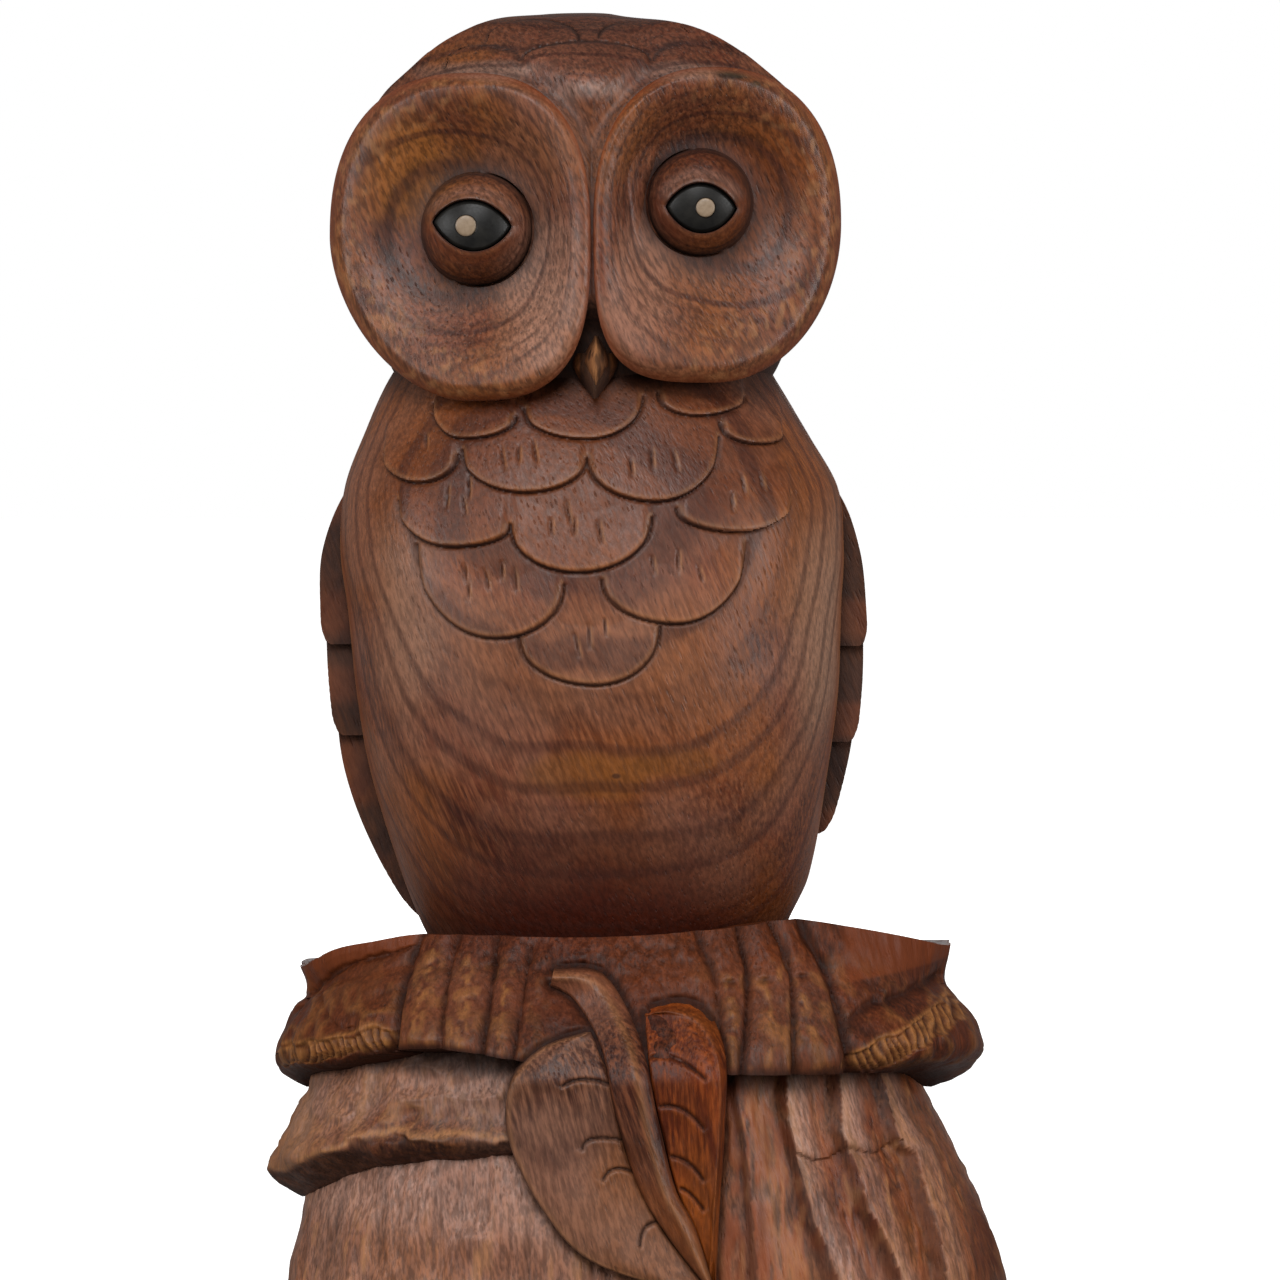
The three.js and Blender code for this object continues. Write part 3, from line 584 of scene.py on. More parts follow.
@dataclass(frozen=True)
class PolishedInlay:
    """Black inlay, polished: a warm near black with painted sheen in lighter clouds, a soft gloss and very
    fine scratches.
    """
    name: str = "polished_black_inlay"
    colour: str = "#121110"
    sheen_cloud: str = "#2b2925"

    def material(self) -> Material:
        """Builds the material."""
        finish = Finish(self.name)
        add, mm = finish.add, finish.millimetres()
        # Lighter clouds of painted sheen on the black.
        sheen_cloud = add("TexNoise", {"Vector": mm, "Scale": 0.22, "Detail": 3.0})
        share = add("MapRange", {0: sheen_cloud, 1: 0.4, 2: 0.75, 3: 0.0, 4: 0.5})
        colour = add("Mix", {0: share, 6: linear(self.colour), 7: linear(self.sheen_cloud)}, 2, data_type="RGBA")
        scratch = add("TexNoise", {"Vector": mm, "Scale": 1.6, "Detail": 4.0})
        rough = add("MapRange", {0: scratch, 1: 0.3, 2: 0.7, 3: 0.34, 4: 0.46})
        bump = add("Bump", {"Strength": 0.2, "Distance": SCRATCH_DEEP * METRE, "Height": scratch})
        return finish.surfaced({"Base Color": colour, "Roughness": rough, "Specular IOR Level": 0.2,
                                "Normal": bump})


@dataclass(frozen=True)
class PalePin:
    """Pale tan pin, worn smooth, with fine grain and darker at its rim."""
    name: str = "rubbed_pale_pin"
    pale: str = "#8f7c67"
    tan: str = "#67533d"
    rim_dark: str = "#3a2a20"

    def material(self) -> Material:
        """Builds the material."""
        finish = Finish(self.name)
        add = finish.add
        grain = add("TexNoise", {"Vector": finish.millimetres(), "Scale": 0.9, "Detail": 4.0})
        rim = add("Attribute", {}, "Fac", attribute_type="GEOMETRY", attribute_name="cavity_shade_and_stain")
        colour = linear(self.pale)
        for share, coat in ((grain, self.tan), (rim, self.rim_dark)):
            colour = add("Mix", {0: share, 6: colour, 7: linear(coat)}, 2, data_type="RGBA")
        bump = add("Bump", {"Strength": 0.3, "Distance": SCRATCH_DEEP * METRE, "Height": grain})
        return finish.surfaced({"Base Color": colour, "Roughness": 0.42, "Normal": bump})


class Slot(Enum):
    """The record's material slots."""
    WOOD = "carved_wood"
    INLAY = "eye_black"
    PIN = "eye_pin"


def put_in(name: str, skin: Skin, material: Material, node: str = CARVING_NODE,
           sharp: float = 40.0) -> None:
    """Puts a finished piece into the scene, standing for a node of the solids.

    Args:
        name: name of the piece.
        skin: its closed surface.
        material: its finish.
        node: the node that the piece stands for.
        sharp: angle in degrees past which an edge stays sharp.
    """
    made = skin.mesh(name, sharp)
    made.materials.append(material)
    piece = bpy.data.objects.new(name, made)
    bpy.context.scene.collection.objects.link(piece)
    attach(piece, "root")
    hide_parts(node)
    LOG.info("%s: %d triangles", name, 2 * len(skin.quads) + len(skin.triangles))


# The owl

@dataclass(frozen=True)
class Feather:
    """A feather's free edge, a U from its left end by its tip to its right end."""
    left: Pair
    tip: Pair
    right: Pair

    def edge(self, share: Array) -> tuple[Array, Array]:
        """Places on the U, from -1 at the left end to 1 at the right.

        The turn runs from 0 at the tip to a quarter circle at an end: one value goes with its sine,
        the other with 1 less its cosine.
        """
        turn = np.abs(share) * math.pi / 2
        end = np.where((share < 0)[..., None], self.left, self.right)
        return (self.tip[0] + (end[..., 0] - self.tip[0]) * np.sin(turn),
                self.tip[1] + (end[..., 1] - self.tip[1]) * (1 - np.cos(turn)))

    def beyond(self, u: Array, v: Array) -> tuple[Array, Array]:
        """How far past the U each place lies in v, and its share of the width from 0 to 1 and over."""
        end = np.where((u < self.tip[0])[..., None], self.left, self.right)
        share = np.abs((u - self.tip[0]) / (end[..., 0] - self.tip[0]))
        arch = 1 - np.sqrt(np.clip(1 - share ** 2, 0, 1))
        return v - (self.tip[1] + (end[..., 1] - self.tip[1]) * arch), share


def feathers(*rows: tuple[float, ...]) -> tuple[Feather, ...]:
    """Feathers from rows of x and z of the left end, the tip and the right end."""
    return tuple(Feather(row[0:2], row[2:4], row[4:6]) for row in rows)


# Lower rows first.
BREAST_FEATHERS = feathers(
    (-34.1, 249.5, -12, 235.8, 6.9, 252.5), (-63.9, 275.2, -40.7, 249, -20.9, 264.3),
    (-10, 265.7, 11.5, 253.3, 31.6, 276), (-69.5, 287.6, -53.5, 275, -36.5, 280.7),
    (-36.4, 281.5, -17.2, 268, 4.6, 283.5), (11.5, 285.9, 29.1, 279.3, 45.2, 289.3),
    (-74, 301.1, -63.5, 293.1, -51.7, 301.1), (-50.7, 302.4, -32.3, 290.7, -14.3, 300.4),
    (-14.3, 300.4, 5.5, 288.1, 24.1, 306.1), (24.4, 310, 35.9, 304, 42.5, 306),
    (-59.5, 315.6, -50.4, 305.8, -34.9, 312.1), (-32.6, 314.1, -14.6, 305.8, 2, 317.9),
    (6.1, 318.7, 17.2, 312.4, 31.8, 317.9),
)
TORSO_SECTIONS = (
    (138, -9, 47, 47, 41, 46), (150, -9.3, 51, 51, 46, 50), (160, -9.8, 55.5, 55.5, 52, 54),
    (175, -10.6, 60.5, 63, 59, 59), (205, -11.6, 68.4, 69.2, 67, 64), (230, -12, 72.4, 72.8, 70, 66),
    (255, -13, 74, 74.6, 70, 67), (272, -14.2, 74.8, 76.5, 68.5, 66), (290, -14.4, 73, 74.7, 65, 63),
    (305, -15.2, 66.7, 67.2, 59.5, 60), (322, -15.8, 58.4, 57.4, 50, 54), (330, -15.8, 52, 52, 44, 45),
    (336, -15.8, 42, 42, 34, 34),
)
TORSO_BEND = 2.5


def degrees_round(angle: Array) -> Array:
    """The angle in degrees, from -180 to 180."""
    return np.degrees(np.arctan2(np.sin(angle), np.cos(angle)))


def torso_points(angle: Array, z: Array, out: Number = 0.0) -> Array:
    """Points on the body at an angle and a height, standing out from it by a distance."""
    return section_points(rows_at(TORSO_SECTIONS, z), TORSO_BEND, angle, z, out)


@dataclass
class Torso:
    """The body, with the breast feathers, the knife nicks and the cut that sets off the wings."""
    wood: Material
    feathers: tuple[Feather, ...] = BREAST_FEATHERS
    proud: float = 1.5
    length: float = 17.0
    cut_deep: float = 0.9
    cut_wide: float = 0.56
    nick_long: float = 7.6
    nick_wide: float = 0.55
    nick_deep: float = 0.7
    nicks: tuple[Pair, ...] = (
        (-61.2, 305.1), (-38.6, 300.5), (-34, 301.6), (-29.4, 302.5), (-1.7, 297.9), (4.3, 300.5),
        (10.9, 299.9), (27.2, 287.9), (30.7, 292.7), (36.1, 293.6), (-54.9, 289.6), (-49.8, 287),
        (-48.6, 292.2), (-24.6, 281), (-19.7, 285), (-18, 281), (-10.6, 279.6), (-49.5, 267.5),
        (-48.4, 262.6), (-43.2, 265.8), (-38.9, 268.4), (-34.9, 265.8), (4.6, 270.1), (11.8, 271),
        (18.1, 267.5), (-13.7, 250), (-9.1, 252.6), (-17.2, 247.4),
    )
    wing_line: float = 82.0
    wing_cut: float = 1.6
    millimetres_a_degree: float = 1.15
    foot: float = 138.0
    plain_top: float = 234.0
    breast_top: float = 322.0
    top: float = 336.0
    rows: tuple[int, int, int] = (64, 196, 10)
    even_share: float = 0.9
    front: int = 280
    back: int = 60

    def feather_relief(self, points: Array) -> tuple[Array, Array, Array]:
        """Height, staining with painted shade, and worn edges that the feathers give the breast.

        Inside a U the wood stands proud, most at the U and nothing a feather's length above it. The
        U itself is a rounded V cut, darkened by staining and painted shade, and a soft painted shade lies
        below it.

        Args:
            points: points of the plain body.

        Returns:
            The height to add, the staining with painted shade, and the worn edges.
        """
        x, z = points[..., 0], points[..., 2]
        breast = points[..., 1] < -5
        raised, stain_and_shade, wear_and_highlight = (np.zeros(x.shape) for _ in range(3))
        cut = np.zeros(x.shape)
        for feather in self.feathers:
            u, v = feather.edge(np.linspace(-1, 1, 49))
            gap = path_distance(points, on_front(TORSO_SECTIONS, TORSO_BEND, u, v), 12.0)
            above, width = feather.beyond(x, z)
            within = (width <= 1.0) & (above > 0) & breast
            signed = np.where(within, gap, -gap)
            lift = np.clip(1 - above / self.length, 0, 1) * fall(width, 0.85, 1.0)
            near = np.where(breast, 1.0, 0.0)
            raised = np.maximum(raised, near * self.proud * lift * smoothstep(signed, -0.5, 0.35))
            cut = np.maximum(cut, near * bell(gap, self.cut_wide))
            below = near * (signed < 0) * (above < 1.5)
            # Painted shade below each U.
            stain_and_shade = np.maximum(stain_and_shade, below * 0.4 * np.exp(-gap / 1.5))
            wear_and_highlight = np.maximum(wear_and_highlight, near * (signed > 0) * 0.25 * bell(gap - 1.3, 0.7))
        return raised - self.cut_deep * cut, np.maximum(stain_and_shade, 0.8 * cut), wear_and_highlight * (1 - cut)

    def nick_relief(self, points: Array) -> tuple[Array, Array]:
        """Depth of the nicks, which also darkens them, and a painted highlight beside each: slim wedges,
        lying a little aslant, deepest in the middle.
        """
        x, z = points[..., 0], points[..., 2]
        deep, pale = np.zeros(x.shape), np.zeros(x.shape)
        for number, (middle_x, middle_z) in enumerate(self.nicks):
            slant = 0.1 + 0.12 * math.sin(number * 2.4)
            along = (z - middle_z) / (self.nick_long / 2 * (0.8 + 0.3 * math.sin(number * 1.7) ** 2))
            aside = (x - middle_x + (z - middle_z) * slant) / self.nick_wide
            shape = np.clip(1 - along ** 2, 0, 1)
            deep = np.maximum(deep, shape * bell(aside, 0.8))
            # A painted highlight on one wall of each nick.
            pale = np.maximum(pale, shape * bell(aside - 1.6, 0.6))
        front = points[..., 1] < -20
        return np.where(front, deep, 0), np.where(front, pale, 0)

    def build(self) -> None:
        """Makes the body: rows close together over the feathers, wider apart below them."""
        plain, breast, neck = self.rows
        heights = np.concatenate([np.linspace(self.foot, self.plain_top, plain, endpoint=False),
                                  np.linspace(self.plain_top, self.breast_top, breast),
                                  np.linspace(self.breast_top, self.top, neck)[1:]])
        angles = front_columns(TORSO_BEND, self.even_share, self.front, self.back)
        z, angle = np.meshgrid(heights, angles, indexing="ij")
        plain = torso_points(angle, z)
        raised, stain_and_shade, wear_and_highlight = self.feather_relief(plain)
        nicks, pale = self.nick_relief(plain)
        # The belly ends in a crisp rim over a narrow cut in front of each wing.
        over = (np.abs(degrees_round(angle)) - self.wing_line) * self.millimetres_a_degree
        wing = smoothstep(z, 156, 175) * fall(z, 268, 284)
        rim = wing * smoothstep(over, -0.4, 0.5) * fall(over, 4, 14)
        hand = uneven(plain, 11, (19, 19, 27)) * 0.45 + uneven(plain, 12, (7, 7, 10)) * 0.16
        out = raised - self.nick_deep * nicks - self.wing_cut * rim - hand
        # Painted shade under the head and where the body meets the stump; the cuts and nicks are darkened by
        # staining and painted shade.
        neck = smoothstep(z, 314, 326)
        foot = fall(z, 157, 168)
        cavity_shade_and_stain = most(stain_and_shade, 0.6 * nicks, 0.85 * rim, 0.85 * neck, 0.5 * foot)
        edge = wing * bell(over + 1.1, 0.8) * 0.6
        warm = wing * smoothstep(over, -14, -2) * fall(over, 0, 5) * 0.6
        # The nicks' painted highlights and a lighter belly rim, worn and highlighted, join the worn edges.
        skin = closed_rings(torso_points(angle, z, out), cavity_shade_and_stain, most(wear_and_highlight, 0.5 * pale, edge), warm)
        put_in("body", skin, self.wood)


class Side(Enum):
    """The owl's side as the photo shows it."""
    LEFT = -1
    RIGHT = 1


@dataclass(frozen=True)
class WingRow:
    """One row of wing feathers: its top, front end, scallop height, lower edge and stand-out."""
    top: float
    start: float
    scallop: float
    low: float
    proud: Triple


@dataclass
class Wing:
    """A folded wing in three rows that overlap downwards, each with five scalloped feathers."""
    wood: Material
    side: Side
    rows: tuple[WingRow, ...]
    end: float = 168.0
    back_share: float = 0.6
    scallops: int = 5
    layer: float = 10.5
    feather_wide: float = 26.0
    quill_deep: float = 0.7
    seam_deep: float = 0.8
    barb_gap: float = 2.4
    barb_deep: float = 0.22
    lip_deep: float = 0.8
    hidden: float = 5.0
    columns: int = 136
    height_rows: int = 54

    def stand_out(self, row: WingRow, up: Array, back: Array) -> Array:
        """How far a row stands out: a parabola through its top, middle and low values, less behind."""
        top, middle, low = row.proud
        curve = low + up * (-3 * low + 4 * middle - top) + up ** 2 * (2 * low - 4 * middle + 2 * top)
        return curve * lerp(1.0, self.back_share, back)

    def build(self) -> None:
        """Makes the rows, with a quill line up each feather and slanting barb lines beside it."""
        for number, row in enumerate(self.rows):
            self.build_row(number, row)

    def build_row(self, number: int, row: WingRow) -> None:
        """Makes one row.

        Args:
            number: which row it is, from the lowest.
            row: its sizes.
        """
        back = with_border(np.linspace(0, 1, self.columns))
        up = with_border(np.linspace(0, 1, self.height_rows) ** 1.15)
        u, b = np.meshgrid(up, back, indexing="ij")
        phase = b * self.scallops
        part = phase - np.floor(np.minimum(phase, self.scallops - 1e-6))
        wave = np.sqrt(np.clip(np.sin(math.pi * part), 0, 1))
        wave = np.where(phase < 0.5, 1.0, wave)
        bottom = row.low + row.scallop * (1 - wave)
        z = lerp(bottom, row.top, u)
        angle = np.radians(lerp(row.start, self.end, b))
        height = z - bottom
        aside = (part - 0.5) * self.feather_wide
        quill = bell(aside, 0.9) * smoothstep(height, 2, 6) * fall(height, 16, 26)
        seam = bell(np.minimum(part, 1 - part) * self.feather_wide, 1.1)
        seam = seam * fall(height, 10, 20) * (phase > 0.5)
        barb = np.abs((((np.abs(aside) * 0.9 + height) / self.barb_gap) % 1) - 0.5) * 2
        barbs = smoothstep(barb, 0.6, 1.0) * fall(height, 12, 24) * self.barb_deep
        lip = np.clip(1 - height / 1.2, 0, 1) ** 2 * self.lip_deep
        plain = torso_points(self.side.value * angle, z)
        hand = uneven(plain, 21 + number, (15, 15, 20)) * 0.4
        soft_end = 1.6 * np.clip(1 - height / 7, 0, 1) ** 2 * fall(b, 0.05, 0.3)
        out = (self.stand_out(row, u, b) - self.quill_deep * quill - self.seam_deep * seam - barbs - lip
               - hand - soft_end)
        border = border_mask(*out.shape)
        out = np.where(border, -self.hidden, out)
        front = fall(b, 0.0, 0.012)
        band = smoothstep(uneven(plain, 26, (60, 60, self.layer)), 0.35, 0.7)
        # The wing's front wall is darkened with painted shade, banded by the growth layers.
        cavity_shade_and_stain = most(0.8 * quill, 0.8 * seam, barbs * 2, front * lerp(0.45, 0.78, band),
                      border)
        wear_and_highlight = bell(height - 1.4, 1.0) * 0.35 * (1 - front)
        if self.side is Side.LEFT:
            angle, z, out, cavity_shade_and_stain, wear_and_highlight, front, band = (
                values[:, ::-1] for values in (angle, z, out, cavity_shade_and_stain, wear_and_highlight, front, band))
        warm = 0.5 * front * (1 - band) * np.ones_like(z)
        skin = laid_patch(torso_points(self.side.value * angle, z, out), cavity_shade_and_stain, wear_and_highlight, warm)
        put_in(f"{self.side.name.lower()}_wing_row_{number + 1}", skin, self.wood)


LEFT_WING_ROWS = (WingRow(222, 88, 5, 160, (6.6, 7.2, 1)), WingRow(252, 86, 4, 216, (6.4, 7.6, 8.3)),
                  WingRow(290, 84, 3, 243.5, (-1, 6, 8.2)))
RIGHT_WING_ROWS = (WingRow(222, 88, 5, 186, (5.6, 5.2, 2.6)), WingRow(252, 86, 4, 214, (6.2, 6.6, 7)),
                   WingRow(290, 84, 3, 243, (-1, 5.4, 7.8)))


@dataclass
class Tail:
    """The short tail behind, a fan of five feathers spread on the stump."""
    wood: Material
    top: float = 200.0
    low: float = 143.0
    half_angle: float = 34.0
    proud: float = 13.0
    edge_proud: float = 1.5
    crest: float = 1.2
    feathers: int = 5
    feather_wide: float = 14.0
    seam_deep: float = 0.9
    quill_deep: float = 0.5
    hidden: float = 6.0
    columns: int = 120
    rows: int = 70

    def build(self) -> None:
        """Makes the fan: it stands out most low down and in the middle, each feather slightly round."""
        aside = with_border(np.linspace(-1, 1, self.columns))
        up = with_border(np.linspace(0, 1, self.rows))
        u, a = np.meshgrid(up, aside, indexing="ij")
        part = ((a + 1) / 2 * self.feathers) % 1
        round_top = np.sin(math.pi * part)
        fan = lerp(self.proud, self.edge_proud, a ** 2) * (1 - u) ** 1.5 + self.crest * (round_top - 0.7)
        seam = bell(np.minimum(part, 1 - part) * self.feather_wide, 1.0) * fall(u, 0.6, 0.9)
        quill = bell((part - 0.5) * self.feather_wide, 0.6) * smoothstep(u, 0.04, 0.12) * fall(u, 0.55, 0.8)
        angle = math.pi + np.radians(self.half_angle) * a * lerp(1.0, 0.6, u)
        z = lerp(self.low, self.top, u)
        border = border_mask(*u.shape)
        out = np.where(border, -self.hidden, fan - self.seam_deep * seam - self.quill_deep * quill)
        cavity_shade_and_stain = most(0.85 * seam, 0.7 * quill, border)
        put_in("tail", laid_patch(torso_points(angle, z, out), cavity_shade_and_stain, 0.2 * (1 - u)), self.wood)


# The head

@dataclass(frozen=True)
class Disc:
    """Outline of a face disc: its middle, its reaches and how square each quarter is."""
    x: float
    z: float
    left: float
    right: float
    up: float
    down: float
    up_left: float
    down_left: float
    down_right: float
    up_right: float

    def quarter(self, x: Array, z: Array) -> tuple[Array, Array, Array]:
        """Side reach, upright reach and bend of the quarter where a place from the middle lies."""
        bend = np.where(x < 0, np.where(z < 0, self.down_left, self.up_left),
                        np.where(z < 0, self.down_right, self.up_right))
        return np.where(x < 0, self.left, self.right), np.where(z < 0, self.down, self.up), bend

    def edge(self, turn: Array) -> Array:
        """Outline points: middle plus reach times the bent cosine and sine, bent by quarter."""
        c, s = np.cos(turn), np.sin(turn)
        side, upright, bend = self.quarter(c, s)
        return np.stack([self.x + side * round_power(c, bend), self.z + upright * round_power(s, bend)], -1)

    def norm(self, x: Array, z: Array) -> Array:
        """1 on the outline, less inside: the bend-th root of the summed powers of the two shares."""
        dx, dz = x - self.x, z - self.z
        side, upright, bend = self.quarter(dx, dz)
        return ((np.abs(dx) / side) ** bend + (np.abs(dz) / upright) ** bend) ** (1 / bend)


ALMOND_BEND = 0.8


@dataclass(frozen=True)
class Eye:
    """An eye mound with its almond inlay and its pin."""
    x: float
    z: float
    radius: float
    rise: float
    corners: tuple[float, float, float, float]
    up: float
    down: float
    pin_x: float
    pin_z: float
    pin_radius: float

    def almond(self, turn: Array, gap: float) -> Array:
        """Outline of the almond: x goes with the cosine, the arch with the squared sine."""
        left_x, left_z, right_x, right_z = self.corners
        along = (np.cos(turn) + 1) / 2
        x = lerp(left_x - gap, right_x + gap, along)
        arch = np.abs(np.sin(turn)) ** (2 * ALMOND_BEND)
        reach = np.where(np.sin(turn) < 0, -(self.down + gap), self.up + gap)
        return np.stack([x, lerp(left_z, right_z, along) + reach * arch], -1)


LEFT_DISC = Disc(-49.6, 364.2, 40.2, 36.4, 47, 47.4, 2.35, 1.78, 3, 2.5)
RIGHT_DISC = Disc(22.4, 368.1, 34.9, 37.2, 44.8, 46, 2.3, 3.6, 2, 2.3)
LEFT_EYE = Eye(-46.1, 366.2, 16.3, 12.5, (-58.7, 368.2, -36.2, 366.9), 6.8, 7.6, -49.1, 367.1, 3)
RIGHT_EYE = Eye(18.1, 374, 15.4, 12, (8.5, 372.6, 28.6, 372.1), 6.8, 7.2, 19.7, 372.3, 2.75)


@dataclass(frozen=True)
class FaceForm:
    """The plane of the two discs and the depth of their bowls."""
    middle: float = -12.9
    middle_z: float = 372.0
    front: float = -64.5
    side_sweep: float = 25.0
    half_width: float = 76.0
    lean: float = 0.086
    foot: float = 317.0
    bowl: float = 11.0
    roll: float = 4.5
    inner_roll: float = 1.7

    def rim(self, x: Number, z: Number) -> Number:
        """Depth of the rims: swept back with the square of x, leaning back with height."""
        return (self.front + self.side_sweep * ((x - self.middle) / self.half_width) ** 2
                + self.lean * (z - self.foot))

    def edge_depth(self, x: Array, z: Array) -> Array:
        """How far the rolled edge lies behind the rims: little between the discs, more outside."""
        off = np.hypot(x - self.middle, (z - self.middle_z) / 1.9)
        return lerp(self.inner_roll, self.roll, smoothstep(off, 11, 30))

    def bowl_depth(self, share: Array, x: Array, z: Array) -> Array:
        """How far the bowl lies behind the rims, from the mound (0) to the rolled edge (1)."""
        return (self.bowl * fall(share, 0, 0.88)
                + self.edge_depth(x, z) * np.maximum((share - 0.84) / 0.16, 0) ** 2)

    def mound(self, eye: Eye, x: Number, z: Number) -> Number:
        """Depth of an eye mound: a dome, the root of 1 less the squared share of its radius."""
        off = np.minimum(np.hypot(x - eye.x, z - eye.z) / eye.radius, 1)
        floor = self.rim(eye.x, eye.z) + self.bowl
        return floor + 1 - (eye.rise + 1) * np.sqrt(1 - off ** 2)


FACE = FaceForm()


@dataclass
class FaceDisc:
    """A face disc: a shallow bowl round an eye mound, with a socket for the almond inlay."""
    name: str
    wood: Material
    disc: Disc
    eye: Eye
    columns: int = 340
    mound_rings: int = 38
    bowl_rings: int = 68
    socket_gap: float = 0.25
    socket_deep: float = 3.5
    upper_lid: float = 0.9
    lower_lid: float = 0.6

    def build(self) -> None:
        """Makes the disc as rings: socket, lids, mound, bowl, rolled edge and back.

        Between the almond and the mound's foot, and between the foot and the disc's edge, a ring is
        a straight blend of the two outlines.
        """
        turn = turns(self.columns)
        foot = circle(self.eye.x, self.eye.z, self.eye.radius, turn)
        outline = self.eye.almond(turn, self.socket_gap)
        edge = self.disc.edge(turn)
        grids, looks = [], []

        def ring(place: Array, y: Array, stain_and_shade: Number, wear_and_highlight: Number, warm: Number = 0.0,
                 pale: Number = 0.0) -> None:
            """Keeps one ring and its looks."""
            grids.append(np.stack([place[..., 0], y, place[..., 1]], -1))
            looks.append([np.broadcast_to(v, turn.shape) for v in (stain_and_shade, wear_and_highlight, warm, pale)])

        top = FACE.mound(self.eye, outline[..., 0], outline[..., 1])
        inner = lerp(outline.mean(0), outline, 0.9)
        ring(inner, top + self.socket_deep, 1.0, 0.0)
        ring(outline, top + self.socket_deep, 1.0, 0.0)
        ring(outline, top + 1.2, 1.0, 0.0)
        lid = np.where(np.sin(turn) > 0, self.upper_lid, self.lower_lid)
        lid = lid * smoothstep(np.abs(np.sin(turn)), 0.05, 0.5)
        for share in np.linspace(0, 1, self.mound_rings) ** 1.35:
            place = lerp(outline, foot, share)
            gap = np.hypot(*(place - outline).T)
            y = FACE.mound(self.eye, place[:, 0], place[:, 1])
            y = y - lid * bell(gap - 0.8, 1.7) * smoothstep(gap, 0, 0.35)
            # Painted shade in the socket's gap and round the mound's foot, and a painted highlight on the
            # upper lid.
            near_foot = bell(np.hypot(*(place - foot).T), 1.7)
            stain_and_shade = np.maximum(0.6 * bell(gap, 0.4), 0.8 * near_foot)
            upper = smoothstep(np.sin(turn), 0.1, 0.6)
            ring(place, y, stain_and_shade, 0.1 * bell(gap - 0.9, 0.5), 0.25 * bell(gap - 1.6, 2.2) * (1 - upper),
                 0.35 * upper * bell(gap - 2.6, 1.6))
        for share in np.linspace(0, 1, self.bowl_rings)[1:]:
            place = lerp(foot, edge, share)
            gap = np.hypot(*(place - foot).T)
            points = np.stack([place[:, 0], np.zeros(len(turn)), place[:, 1]], -1)
            hand = 0.3 * uneven(points, 31, (9, 9, 9)) * fall(share, 0.8, 1.0)
            y = FACE.rim(place[:, 0], place[:, 1]) + FACE.bowl_depth(share, *place.T) + hand
            valley = bell(place[:, 0] - FACE.middle, 2.6) * smoothstep(share, 0.97, 1.0) * (place[:, 1] < 398)
            # Painted shade round the mound's foot and in the valley between the discs.
            stain_and_shade = most(0.7 * bell(gap, 2.2), 0.4 * bell(gap, 7.0), 0.5 * valley)
            strip = 0.55 * smoothstep(share, 0.9, 0.98)
            # Worn golden spots lie along the outer rims.
            from_middle = np.hypot(place[:, 0] - FACE.middle, (place[:, 1] - FACE.middle_z) / 1.6)
            outer = smoothstep(from_middle, 26, 48)
            spots = smoothstep(uneven(points, 71, (1.5, 3, 2.4)), 0.55, 0.8) * outer
            spots = spots * smoothstep(share, 0.35, 0.75) * fall(share, 0.97, 1.0)
            wear_and_highlight = np.maximum(0.1 * bell((share - 0.93) * 30, 1.0) * (1 - valley), 0.4 * spots)
            ring(place, y, stain_and_shade, wear_and_highlight, strip)
        for share, back in ((0.997, 1.5), (0.99, 4), (0.97, 9), (0.9, 13), (0.6, 22)):
            place = lerp(foot, edge, share)
            ring(place, FACE.rim(place[:, 0], place[:, 1]) + FACE.edge_depth(*place.T) + back, 0.25, 0.0, 0.5)
        skin = closed_rings(np.array(grids), *np.moveaxis(np.array(looks), 1, 0))
        put_in(self.name, skin, self.wood)


CROWN_FEATHERS = feathers(
    (-56, 413, -45.5, 419.5, -34, 414.6), (-33.6, 414.6, -13.6, 420.4, 4.1, 414.6),
    (5.2, 414.6, 17.7, 420.7, 31.9, 414), (-44, 420.5, -30, 427.3, -16.8, 421),
    (-11, 421.6, 2, 427.3, 15.5, 420.5),
)


